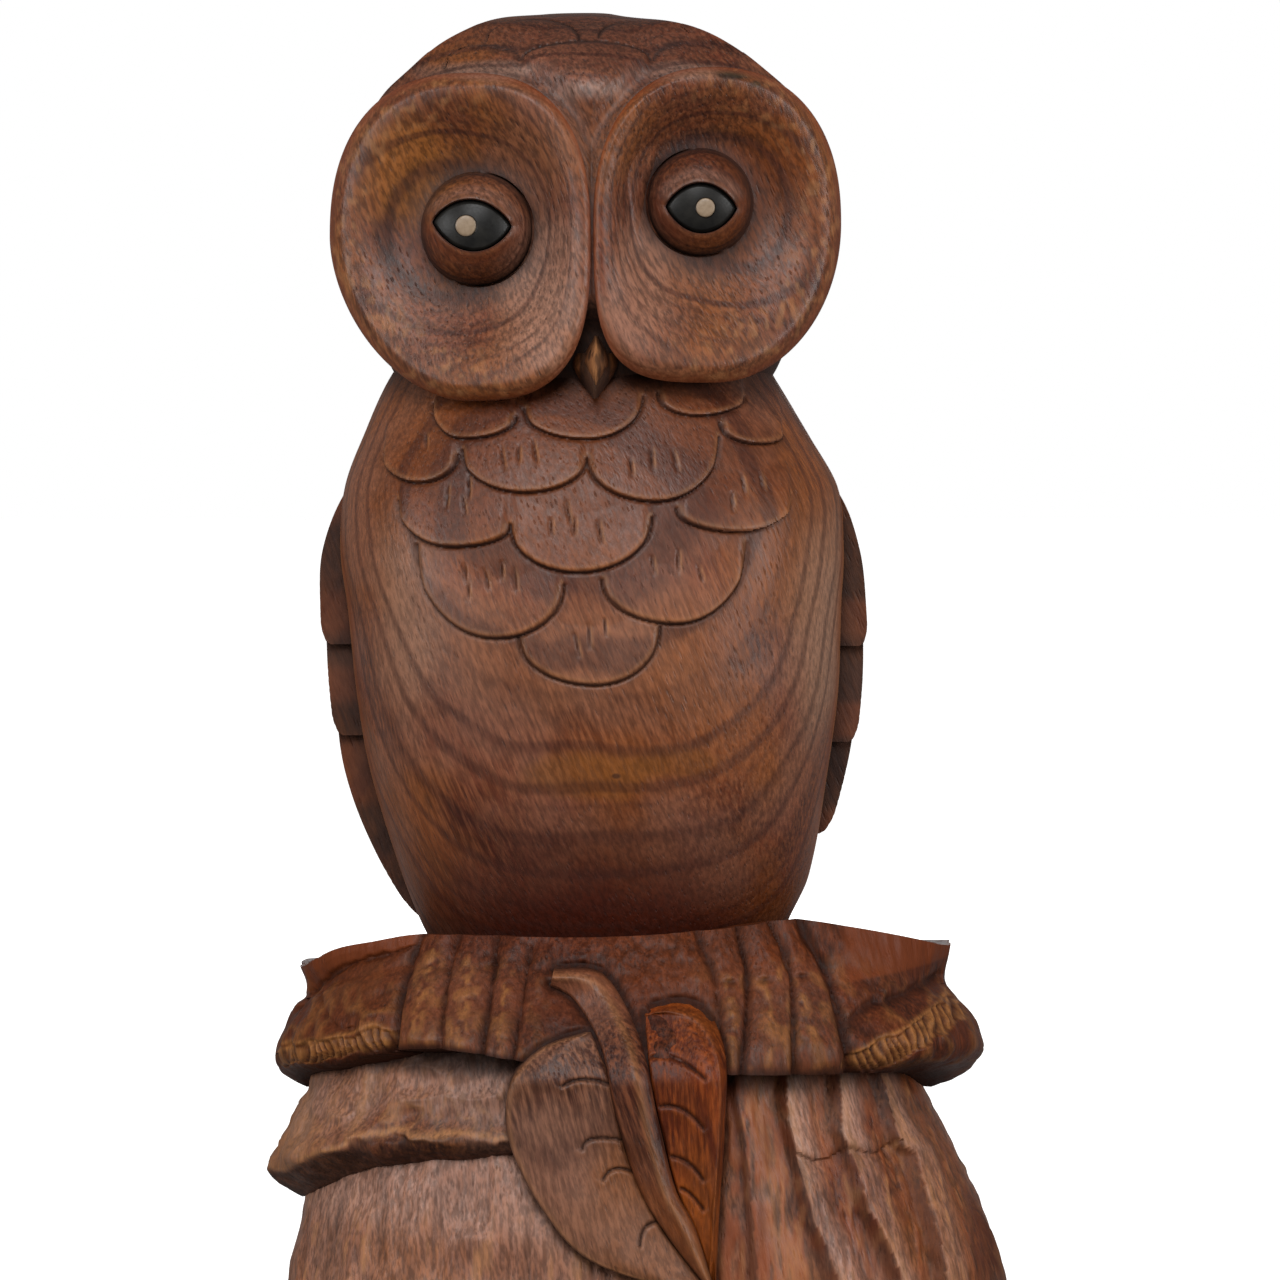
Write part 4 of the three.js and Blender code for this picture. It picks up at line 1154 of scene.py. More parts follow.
@dataclass
class HeadBlock:
    """The head behind the discs, rounded over the crown, with two rows of crown feathers."""
    wood: Material
    bend: float = 2.2
    sections: tuple[tuple[float, ...], ...] = (
        (314, -15.8, 50, 50, 44, 48), (326, -15.7, 58, 58, 50, 56), (345, -15.6, 65, 65, 52, 63),
        (370, -15.4, 70, 70, 52, 66), (392, -15.2, 67.5, 68, 55, 64), (404, -14.8, 61, 61.5, 55.5, 60),
        (413, -14.5, 51.8, 51.5, 51, 53), (420, -14.2, 43.8, 41.6, 43, 45), (425, -14, 34.7, 30.6, 35, 38),
        (428.4, -14, 25.4, 15.8, 27, 30), (430, -14, 15, 8, 16, 19),
    )
    crown: tuple[Feather, ...] = CROWN_FEATHERS
    crown_length: float = 6.0
    proud: float = 1.2
    cut_deep: float = 0.9
    brow_step: float = 0.3
    brow_slope: float = 0.8
    brow_wide: float = 9.0
    behind_bowl: float = 3.0
    rows: int = 156
    even_share: float = 0.85
    front: int = 200
    back: int = 90

    def points(self, angle: Array, z: Array, out: Number = 0.0) -> Array:
        """Points on the head at an angle and a height."""
        return section_points(rows_at(self.sections, z), self.bend, angle, z, out)

    def row_heights(self) -> Array:
        """Heights spaced evenly along the head's side profile, by its running length."""
        z = np.linspace(self.sections[0][0], self.sections[-1][0], 800)
        reach = rows_at(self.sections, z)[:, 1]
        run = np.concatenate([[0], np.cumsum(np.hypot(np.diff(z), np.diff(reach)))])
        return np.interp(np.linspace(0, run[-1], self.rows), run, z)

    def crown_relief(self, plain: Array) -> tuple[Array, Array]:
        """Height and cut of the crown feathers, whose free edges lie up and back."""
        x, z = plain[..., 0], plain[..., 2]
        raised, cut = np.zeros(z.shape), np.zeros(z.shape)
        before = smoothstep(-plain[..., 1], 2, 16)
        for feather in self.crown:
            u, v = feather.edge(np.linspace(-1, 1, 41))
            gap = path_distance(plain, on_front(self.sections, self.bend, u, v), 10.0)
            past, width = feather.beyond(x, z)
            within = ((width <= 1) & (past < 0)) * before
            lift = np.clip(1 + past / self.crown_length, 0, 1) * fall(width, 0.85, 1)
            raised = np.maximum(raised, within * self.proud * lift * smoothstep(gap, -0.2, 0.5))
            cut = np.maximum(cut, bell(gap, 0.55) * before)
        return raised, cut

    def with_brow(self, grid: Array) -> tuple[Array, Array]:
        """Depth of the head with the brow that joins it to the discs.

        At a disc's edge the head lies a small step behind the edge, and a little inside it too, so
        that no gap shows. Outside, it falls back with the distance until it meets the head, and
        where the head stands further forward it rises to it over the brow's width.

        Args:
            grid: points of the head.

        Returns:
            The new depth of each point, and its nearness to a disc's edge from 0 to 1.
        """
        x, y, z = np.moveaxis(grid, -1, 0)
        turn = np.linspace(0, FULL_TURN, 361)
        place = grid[..., [0, 2]]
        gaps = [path_distance(place, disc.edge(turn), 24.0) for disc in (LEFT_DISC, RIGHT_DISC)]
        norm = np.minimum(LEFT_DISC.norm(x, z), RIGHT_DISC.norm(x, z))
        beyond = np.where(norm > 1, np.minimum(*gaps), 0)
        brow = FACE.rim(x, z) + FACE.edge_depth(x, z) + self.brow_step + self.brow_slope * beyond
        joined = np.where(y < brow, lerp(brow, y, smoothstep(beyond, 0, self.brow_wide)), brow)
        share = smoothstep(z, 336, 348) * fall(np.abs(x - FACE.middle), 58, 74)
        share = share * fall(beyond, 14, 23)
        used = (norm > 0.945) & (y < -6)
        return np.where(used, lerp(y, joined, share), y), used * share * bell(beyond, 3.0)

    def build(self) -> None:
        """Makes the head, pushed back behind the bowls so that it never shows in them."""
        angles = front_columns(self.bend, self.even_share, self.front, self.back)
        z, angle = np.meshgrid(self.row_heights(), angles, indexing="ij")
        plain = self.points(angle, z)
        raised, cut = self.crown_relief(plain)
        hand = uneven(plain, 41, (17, 17, 17)) * 0.45
        grid = self.points(angle, z, raised - self.cut_deep * cut - hand)
        # Painted shade under the head at the neck and in the hollows beside the beak.
        neck = fall(z, 328, 337)
        beak_hollow_shade = bell(grid[..., 0] + 12, 17) * fall(z, 338, 352) * (grid[..., 1] < 0)
        grid[..., 1], edge = self.with_brow(grid)
        for disc in (LEFT_DISC, RIGHT_DISC):
            norm = disc.norm(grid[..., 0], grid[..., 2])
            share = np.clip((norm - 0.42) / 0.58, 0, 1)
            x, bowl = grid[..., 0], FACE.bowl_depth(share, grid[..., 0], grid[..., 2])
            pushed = np.maximum(grid[..., 1], FACE.rim(x, grid[..., 2]) + bowl + self.behind_bowl)
            inside = fall(norm, 0.915, 0.945) * (grid[..., 1] < 0)
            grid[..., 1] = lerp(grid[..., 1], pushed, inside)
        # Three more rings, without staining or painted shade, close the crown.
        caps = np.array([lerp(grid[-1].mean(0), grid[-1], share) for share in (0.7, 0.4, 0.15)])
        # Painted shade along the discs' edges and in the valley between them.
        valley = edge * bell(grid[..., 0] - FACE.middle, 2.6) * (z < 396)
        stains_and_shade = most(0.85 * cut, 0.85 * neck, beak_hollow_shade, 0.3 * edge, 0.5 * valley)
        skin = closed_rings(np.concatenate([grid, caps]), np.pad(stains_and_shade, ((0, len(caps)), (0, 0))))
        put_in("head", skin, self.wood)


@dataclass
class Bill:
    """A small wedge with a middle ridge in front: the beak, or the lip under it."""
    name: str
    wood: Material
    x: float
    rows: tuple[Triple, ...]
    wear_and_highlight: float
    back: float = 44.0
    ridge: float = 1.25
    flank: float = 0.45
    down: int = 44
    across: int = 33
    hidden_half: float = 0.0
    streaks: float = 0.0

    def build(self) -> None:
        """Makes the wedge: across it the reach falls from the ridge by a power of the share aside."""
        z = np.linspace(self.rows[-1][0], self.rows[0][0], self.down)
        half, front = rows_at(self.rows, z).T
        share = np.concatenate([np.linspace(-1, 1, self.across), [0.6, 0.0, -0.6]])
        behind = np.arange(len(share)) >= self.across
        side = lerp(self.back, front, self.flank)[:, None]
        reach = lerp(side, front[:, None], 1 - np.abs(share) ** self.ridge)
        y = np.where(behind, -self.back, -reach)
        x = self.x + half[:, None] * share
        grid = np.stack(np.broadcast_arrays(x, y, z[:, None]), -1)
        # The ridge is lighter, worn and highlighted; the right half and the edges are darkened with painted
        # shade.
        wear_and_highlight = self.wear_and_highlight * (1 - np.abs(share) ** 0.8)
        streak = self.streaks * smoothstep(uneven(grid, 45, (0.9, 3, 5)), 0.5, 0.7)
        right_half_shade = 0.35 * self.streaks * (share > 0.08)
        hidden = smoothstep(self.hidden_half + 1 - np.abs(x - self.x), 0, 1) * (self.hidden_half > 0)
        cavity_shade_and_stain = most(0.6 * smoothstep(np.abs(share), 0.75, 1.0), streak, right_half_shade, 0.9 * hidden)
        put_in(self.name, closed_rings(grid, cavity_shade_and_stain, wear_and_highlight), self.wood, sharp=50)


@dataclass
class EyeInlay:
    """The black almond with a bevelled edge, and the round pale pin set in it."""
    side: str
    eye: Eye
    black: Material
    pale: Material
    sunk: float = 0.7
    pin_gap: float = 0.1
    bevel: float = 0.8
    thick: float = 6.0
    columns: int = 150
    pin_columns: int = 72

    def build(self) -> None:
        """Makes the inlay and the pin."""
        self.build_inlay()
        self.build_pin()

    def build_inlay(self) -> None:
        """Makes the almond: rings blend from the pin's hole to the almond's edge, which is bevelled."""
        turn = turns(self.columns)
        hole = circle(self.eye.pin_x, self.eye.pin_z, self.eye.pin_radius + self.pin_gap, turn)
        outline = self.eye.almond(turn, 0.0)
        middle = outline.mean(0)
        rings = []

        def ring(place: Array, back: Number) -> None:
            """Keeps one ring at a depth behind the mound's face."""
            y = FACE.mound(self.eye, place[:, 0], place[:, 1]) + self.sunk + back
            rings.append(np.stack([place[:, 0], y, place[:, 1]], -1))

        ring(lerp(hole.mean(0), hole, 0.5), 2.2)
        ring(hole, 2.2)
        ring(hole, 0.15)
        for share in np.linspace(0.02, 1, 40):
            place = lerp(hole, outline, share)
            gap = np.hypot(*(place - outline).T)
            ring(place, self.bevel * np.clip(1 - gap / 1.1, 0, 1) ** 1.5)
        for share, back in ((1.0, 1.6), (1.0, 3.0), (0.9, self.thick - 1.5), (0.5, self.thick - 1.5)):
            ring(lerp(middle, outline, share), back)
        put_in(f"{self.side}_eye_almond", closed_rings(np.array(rings)), self.black,
               f"{self.side}_eye_inlay", sharp=45)

    def build_pin(self) -> None:
        """Makes the pin: turned round its axis along y from rows of radius and depth."""
        turn = turns(self.pin_columns)
        face = float(FACE.mound(self.eye, self.eye.pin_x, self.eye.pin_z)) + self.sunk
        # The third value of each row darkens the pin's rim and its hidden sides.
        rows = ((0.15, -0.2, 0), (0.5, -0.18, 0), (0.8, -0.1, 0), (0.92, 0.0, 0.1), (1, 0.2, 0.6),
                (1, 1.0, 1), (1, 3.2, 1), (0.3, 3.2, 1))
        profile = np.array(rows)[:, None, :]
        radius = self.eye.pin_radius * profile[..., 0]
        x = self.eye.pin_x + radius * np.cos(turn)
        z = self.eye.pin_z + radius * np.sin(turn)
        y = np.broadcast_to(face + profile[..., 1], x.shape)
        stain_and_shade = np.broadcast_to(profile[..., 2], x.shape)
        put_in(f"{self.side}_eye_peg", closed_rings(np.stack([x, y, z], -1), stain_and_shade), self.pale,
               f"{self.side}_eye_pin", sharp=50)


# The stump

STUMP_BEND = 2.3
PLAIN_REACH = (0.0, 102, 100, 80, 82)
LEVEL_TOP = 125.0
MARKS_BEHIND = 5
MARK_WOBBLE = 3.0


def catmull(points: Sequence[Pair], share: Array) -> Array:
    """Places on a smooth curve through points: cubics whose slopes are half the neighbours' gap.

    Args:
        points: what the curve goes through.
        share: how far along it, from 0 to 1, evenly by point.

    Returns:
        The places.
    """
    table = np.array(points, float)
    at = np.clip(share, 0, 1) * (len(table) - 1)
    i = np.minimum(at.astype(int), len(table) - 2)
    t = (at - i)[..., None]
    p0, p1 = table[np.maximum(i - 1, 0)], table[i]
    p2, p3 = table[i + 1], table[np.minimum(i + 2, len(table) - 1)]
    v0, v1 = (p2 - p0) / 2, (p3 - p1) / 2
    return (2 * p1 - 2 * p2 + v0 + v1) * t ** 3 + (3 * p2 - 3 * p1 - 2 * v0 - v1) * t ** 2 + v0 * t + p1


@dataclass(frozen=True)
class BladeForm:
    """A blade or the stem of the leaf: two outlines from the top down and heights across."""
    name: str
    outer: tuple[Pair, ...]
    inner: tuple[Pair, ...]
    heights: tuple[float, ...]


LEAF_FORMS = (
    BladeForm("leaf_left_blade",
              ((-15, 136.5), (-28, 132), (-36.4, 121.9), (-36.6, 106), (-27, 86.8), (-12, 71.8),
               (20.9, 61.5)),
              ((-13, 136.5), (-10.5, 131), (-7.4, 122.7), (-4, 106), (0.5, 94), (8, 80), (21.4, 63)),
              (3.6, 4.6, 4, 2.6, 1.4)),
    BladeForm("leaf_right_blade",
              ((4.5, 143), (12.3, 144.5), (20.5, 141.5), (25.3, 131), (25.4, 112), (23.9, 90), (22.6, 64)),
              ((2, 141), (2.6, 135), (4.3, 122), (7.7, 107), (11.5, 92), (17, 80), (21.9, 64)),
              (3.2, 4.4, 2.6, 2, 1.6)),
    BladeForm("leaf_stem",
              ((-25, 148.5), (-17.9, 144.5), (-10.2, 132.5), (-6, 114), (0.4, 93.5), (9, 79), (20.5, 64)),
              ((-24, 153), (-9.6, 151.5), (1.2, 134), (6, 113), (11, 93), (16.5, 82), (22.3, 63.5)),
              (2.6, 4.2, 5.2, 3)),
)
LEAF_VEINS = (
    (-21.3, 122.4, -15.6, 124.2, -8, 122.8), (-15.6, 104.3, -12.5, 107.2, -4, 106.6),
    (-9.6, 95.7, -6, 98.6, 0, 97), (0.9, 77, 2.4, 82, 6.5, 83.3),
    (4, 130, 11, 129.8, 19.5, 124.4), (6.5, 116.4, 13, 115.6, 19, 110.2),
    (9.8, 102, 14.5, 100.3, 19, 95.4), (12.6, 92.8, 15.4, 91.2, 19, 87),
)


def leaf_depth(x: Array, z: Array) -> Array:
    """How far forward the leaf lies: a reach that grows downwards, rounded off to the sides."""
    reach = 64 + 18 * smoothstep(152 - z, 0, 30) + 3 * smoothstep(110 - z, 0, 50)
    return -reach * (1 - np.abs(x / 100) ** STUMP_BEND) ** (1 / STUMP_BEND)


@dataclass
class Leaf:
    """The leaf on the stump's front: two blades with cut veins, and the stem between them."""
    woods: tuple[Material, ...]
    forms: tuple[BladeForm, ...] = LEAF_FORMS
    veins: tuple[tuple[float, ...], ...] = LEAF_VEINS
    vein_wide: float = 0.5
    vein_deep: float = 0.8
    bevel_deep: float = 2.6
    bevel_wide: float = 3.2
    hidden: float = 9.0
    rows: int = 200
    columns: int = 64

    def vein_path(self, vein: Sequence[float]) -> Array:
        """A vein as a round curve through its three places."""
        places = np.array(vein).reshape(3, 2)
        t = np.linspace(0, 1, 17)[:, None]
        bend = 2 * places[1] - (places[0] + places[2]) / 2
        return places[0] * (1 - t) ** 2 + bend * 2 * t * (1 - t) + places[2] * t ** 2

    def build(self) -> None:
        """Makes the three parts."""
        for form, wood in zip(self.forms, self.woods):
            self.build_form(form, wood)

    def build_form(self, form: BladeForm, wood: Material) -> None:
        """Makes one part: rows down the leaf, columns straight across between its two outlines.

        Args:
            form: the part's outlines and heights.
            wood: its material.
        """
        down = with_border(np.linspace(0, 1, self.rows))
        across = with_border(np.linspace(0, 1, self.columns))
        outer, inner = catmull(form.outer, down), catmull(form.inner, down)
        a = np.meshgrid(down, across, indexing="ij")[1]
        place = lerp(outer[:, None, :], inner[:, None, :], a[..., None])
        x, z = place[..., 0], place[..., 1]
        stations = [(i / (len(form.heights) - 1), h) for i, h in enumerate(form.heights)]
        height = rows_at(stations, a)[..., 0]
        wide = np.hypot(*(outer - inner).T)[:, None]
        to_outer, to_inner = a * wide, (1 - a) * wide
        vein, below = np.zeros(x.shape), np.zeros(x.shape)
        if form.name != "leaf_stem":
            for each in self.veins:
                path = self.vein_path(each)
                gap = path_distance(place, path, 6.0)
                line = np.interp(x, path[:, 0], path[:, 1])
                vein = np.maximum(vein, bell(gap, self.vein_wide))
                below = np.maximum(below, bell(gap - 1.3, 0.8) * (z < line))
        lip = bell(to_outer - 0.9, 0.8) * 0.22
        soft = np.clip(1 - np.minimum(to_outer, to_inner), 0, 1) ** 2 * 0.9
        ridge = 0.0
        if form.name == "leaf_right_blade":
            # The outer margin is a narrow bevel behind a straight edge.
            ridge = -self.bevel_deep * smoothstep(self.bevel_wide - to_outer, 0, 2.8)
            ridge = ridge + 0.6 * bell(to_outer - 3.4, 0.7)
            lip = bell(to_outer - 3.4, 0.55) * 0.2
        if form.name == "leaf_stem":
            lip = bell(to_inner - wide * 0.3, 1.2) * 0.3
        hand = 0.3 * uneven(np.stack([x, x * 0, z], -1), 51, (6, 6, 9))
        height = height + 0.15 * below - self.vein_deep * vein - soft + ridge - hand
        border = border_mask(*x.shape)
        y = leaf_depth(x, z) - np.where(border, -self.hidden, height)
        # The outline is darkened with staining and painted shade, and each vein's lower side gets a faint
        # painted highlight.
        cavity_shade_and_stain = most(0.95 * vein, 0.5 * soft, border)
        wear_and_highlight = np.maximum(lip, 0.05 * below)
        put_in(form.name, laid_patch(np.stack([x, y, z], -1), cavity_shade_and_stain, wear_and_highlight), wood)


def mark_angles(shares: Sequence[float]) -> Array:
    """Angles of upright marks given as shares of the side reach, with even ones round the back."""
    table = np.array(shares)
    front = np.sign(table) * np.arcsin(np.abs(table) ** (STUMP_BEND / 2))
    back = np.linspace(front[-1], front[0] + FULL_TURN, MARKS_BEHIND + 2)[1:-1]
    return np.concatenate([front, back])


@dataclass
class BarkCell:
    """Where points lie between two upright marks."""
    across: Array
    near: Array
    wide: Array

    @classmethod
    def find(cls, marks: Sequence[float], angle: Array, plain: Array) -> "BarkCell":
        """Finds each point's cell.

        Args:
            marks: shares of the reach at which the marks stand.
            angle: angle of each point.
            plain: the points, whose rows run round the stump.

        Returns:
            The place across the cell from -1 to 1, the distance in millimetres from the nearest mark
            and the cell's width.
        """
        angles = mark_angles(marks)
        fine = np.linspace(angles[0], angles[0] + FULL_TURN, 1441)
        reach = np.broadcast_to(PLAIN_REACH, (len(fine), len(PLAIN_REACH)))
        line = section_points(reach, STUMP_BEND, fine, np.zeros(len(fine)))
        run = np.concatenate([[0], np.cumsum(np.hypot(*np.diff(line[:, :2], axis=0).T))])
        ends = np.interp(np.append(angles, angles[0] + FULL_TURN), fine, run)
        wobble = (uneven(plain, 61, (14, 14, 22)) - 0.5) * MARK_WOBBLE
        turned = (angle - angles[0]) % FULL_TURN + angles[0]
        at = np.clip(np.interp(turned, fine, run) + wobble, 0, run[-1] - 1e-6)
        number = np.clip(np.searchsorted(ends, at, side="right") - 1, 0, len(ends) - 2)
        wide = ends[number + 1] - ends[number]
        across = (at - ends[number]) / wide * 2 - 1
        return cls(across, (1 - np.abs(across)) * wide / 2, wide)


@dataclass
class BarkBand:
    """A ring of bark, from rows of its height share with the reach to each side."""
    name: str
    wood: Material
    table: tuple[tuple[float, ...], ...]
    marks: tuple[float, ...]
    rows: int = 110
    front: int = 330
    back: int = 90
    even_share: float = 0.985
    leaf_cut: float = 1.6
    top_stain: float = 0.15

    def high(self, angle: Array) -> Array:
        """Upper edge at an angle, level where a band doesn't say otherwise."""
        return np.full(np.shape(angle), LEVEL_TOP)

    def low(self, angle: Array) -> Array:
        """Lower edge at an angle, the underside where a band doesn't say otherwise."""
        return np.zeros(np.shape(angle))

    def relief(self, share: Array, plain: Array, cell: BarkCell) -> tuple[Array, ...]:
        """How far each point stands out, and its staining with painted shade, worn edges with painted
        highlights, smoothness and painted sheen.
        """
        raise NotImplementedError

    def row_shares(self) -> Array:
        """Height shares of the rows, from the lower edge to the upper."""
        return np.linspace(0, 1, self.rows)

    def near_leaf(self, plain: Array) -> Array:
        """How near each point in front is to the leaf's outline, as a soft peak."""
        nearest = np.zeros(plain.shape[:-1])
        for form in LEAF_FORMS:
            for line in (form.outer, form.inner):
                gap = path_distance(plain[..., [0, 2]], catmull(line, np.linspace(0, 1, 40)), 8.0)
                nearest = np.maximum(nearest, bell(gap, 1.5) + 0.35 * bell(gap, 4.0))
        return np.where(plain[..., 1] < -30, np.minimum(nearest, 1), 0)

    def build(self) -> None:
        """Makes the band, with its marks, its own relief and a cut round the leaf."""
        angles = front_columns(STUMP_BEND, self.even_share, self.front, self.back)
        share, angle = np.meshgrid(self.row_shares(), angles, indexing="ij")
        z = lerp(self.low(angle), self.high(angle), share)
        reach = np.concatenate([np.zeros(share.shape + (1,)), rows_at(self.table, share)], axis=-1)
        plain = section_points(reach, STUMP_BEND, angle, z)
        out, *looks = self.relief(share, plain, BarkCell.find(self.marks, angle, plain))
        cut = self.near_leaf(plain)
        # The cut round the leaf is darkened with staining and painted shade.
        looks[0] = np.maximum(looks[0], 0.85 * cut)
        grid = section_points(reach, STUMP_BEND, angle, z, np.minimum(out - self.leaf_cut * cut, 0))
        # Two more rings carry the top in to a plain middle.
        caps = np.array([lerp(grid[-1].mean(0), grid[-1], k) for k in (0.98, 0.9)])
        looks = [np.concatenate([np.broadcast_to(values, share.shape), np.full((2, len(angles)), on_top)])
                 for values, on_top in zip(looks, every_look([self.top_stain]))]
        put_in(self.name, closed_rings(np.concatenate([grid, caps]), *looks), self.wood)


def front_share(angle: Array) -> Array:
    """Cosine of the angle in front, nothing behind."""
    return np.maximum(np.cos(angle), 0)


def peak(angle: Array, middle: float, width: float) -> Array:
    """Round peak in the angle, in degrees."""
    return bell(degrees_round(angle) - middle, width)


@dataclass(frozen=True)
class Groove:
    """A crease as the photo shows it: its half width, its depth and its places as x and z."""
    wide: float
    deep: float
    places: tuple[Pair, ...]

    def gap(self, plain: Array) -> Array:
        """Distance of points in front from the crease, seen from the front."""
        path = catmull(self.places, np.linspace(0, 1, 30))
        gap = path_distance(plain[..., [0, 2]], path, 14.0)
        return np.where(plain[..., 1] < -15, gap, FAR)


def grooves(*rows: tuple[float, ...]) -> tuple[Groove, ...]:
    """Grooves from rows of half width, depth, and then x and z of each place in turn."""
    return tuple(Groove(row[0], row[1], tuple(zip(row[2::2], row[3::2]))) for row in rows)


RIM_HEIGHTS = ((-1, 146), (-0.88, 154.5), (-0.76, 158.2), (-0.63, 161), (-0.1, 161.5), (0.3, 164),
               (0.48, 166), (0.66, 163.2), (0.85, 158.5), (1, 153))
RIM_BEHIND = 142.0
GROOVES = grooves(
    (1.5, 2.8, -62.3, 168, -63.8, 162.4, -67.6, 152.1, -70.2, 142.5, -73, 126),
    (1.1, 2.0, -53.3, 161, -54.7, 155, -56.7, 143.6, -57.5, 128),
    (1.5, 2.3, -41, 163, -42.1, 156.1, -43.4, 144.2, -46, 128),
    (1.2, 1.9, -31.3, 158, -32.2, 153.9, -33.5, 145, -37, 126),
    (1.2, 1.9, 16.5, 170, 18.1, 161.5, 23, 149.9, 24.4, 131, 24.6, 122),
    (1.4, 2.5, 28.5, 172, 30.2, 161.3, 32.8, 149.7, 31.1, 128, 30.6, 120),
    (1.2, 2.2, 37, 172, 39.4, 165.4, 45.5, 150.7, 46.1, 130.4, 46, 120),
    (1.7, 3.0, 48, 169, 50.4, 161.5, 58.1, 147.1, 64, 120),
    (0.9, 1.7, -103, 135, -97.8, 140.4, -92.3, 146.2, -84.8, 151.2, -74.2, 154.8, -65.7, 158),
    (2.2, 2.0, 97, 146, 91.5, 144.8, 76.5, 142, 67.5, 140.9, 61.5, 135.5),
    (0.7, 1.0, -94.5, 141, -92.7, 137.4, -89.2, 134.1, -84.5, 134.2),
)
NOTCHED = grooves(
    (3.6, 0, -107, 121.5, -102.8, 123.5, -96, 125.3, -84.9, 129.6, -77.3, 132.5, -73.1, 130.9),
    (4.2, 0, 64, 125, 69.6, 127.5, 81.1, 131.1, 92.2, 135.7, 101, 138),
)
# Painted highlight streaks down the flutes.
HIGHLIGHT_STREAKS = grooves(
    (1.3, 0, 48.4, 145, 51, 136, 56.3, 122.8), (2.2, 0, -60, 157, -62, 146, -65.5, 133),
    (1.2, 0, 26.6, 150, 27.5, 140, 27.8, 128), (1.0, 0, 37, 150, 38.5, 141, 38, 127),
    (1.8, 0, -49.5, 154, -50, 143, -51.5, 132), (1.2, 0, -38, 148, -40, 137, -41, 130),
)
SLAB_LINE = ((-103, -92, -85, -66, 60, 92), (135, 147, 151.5, 158, 148, 150))


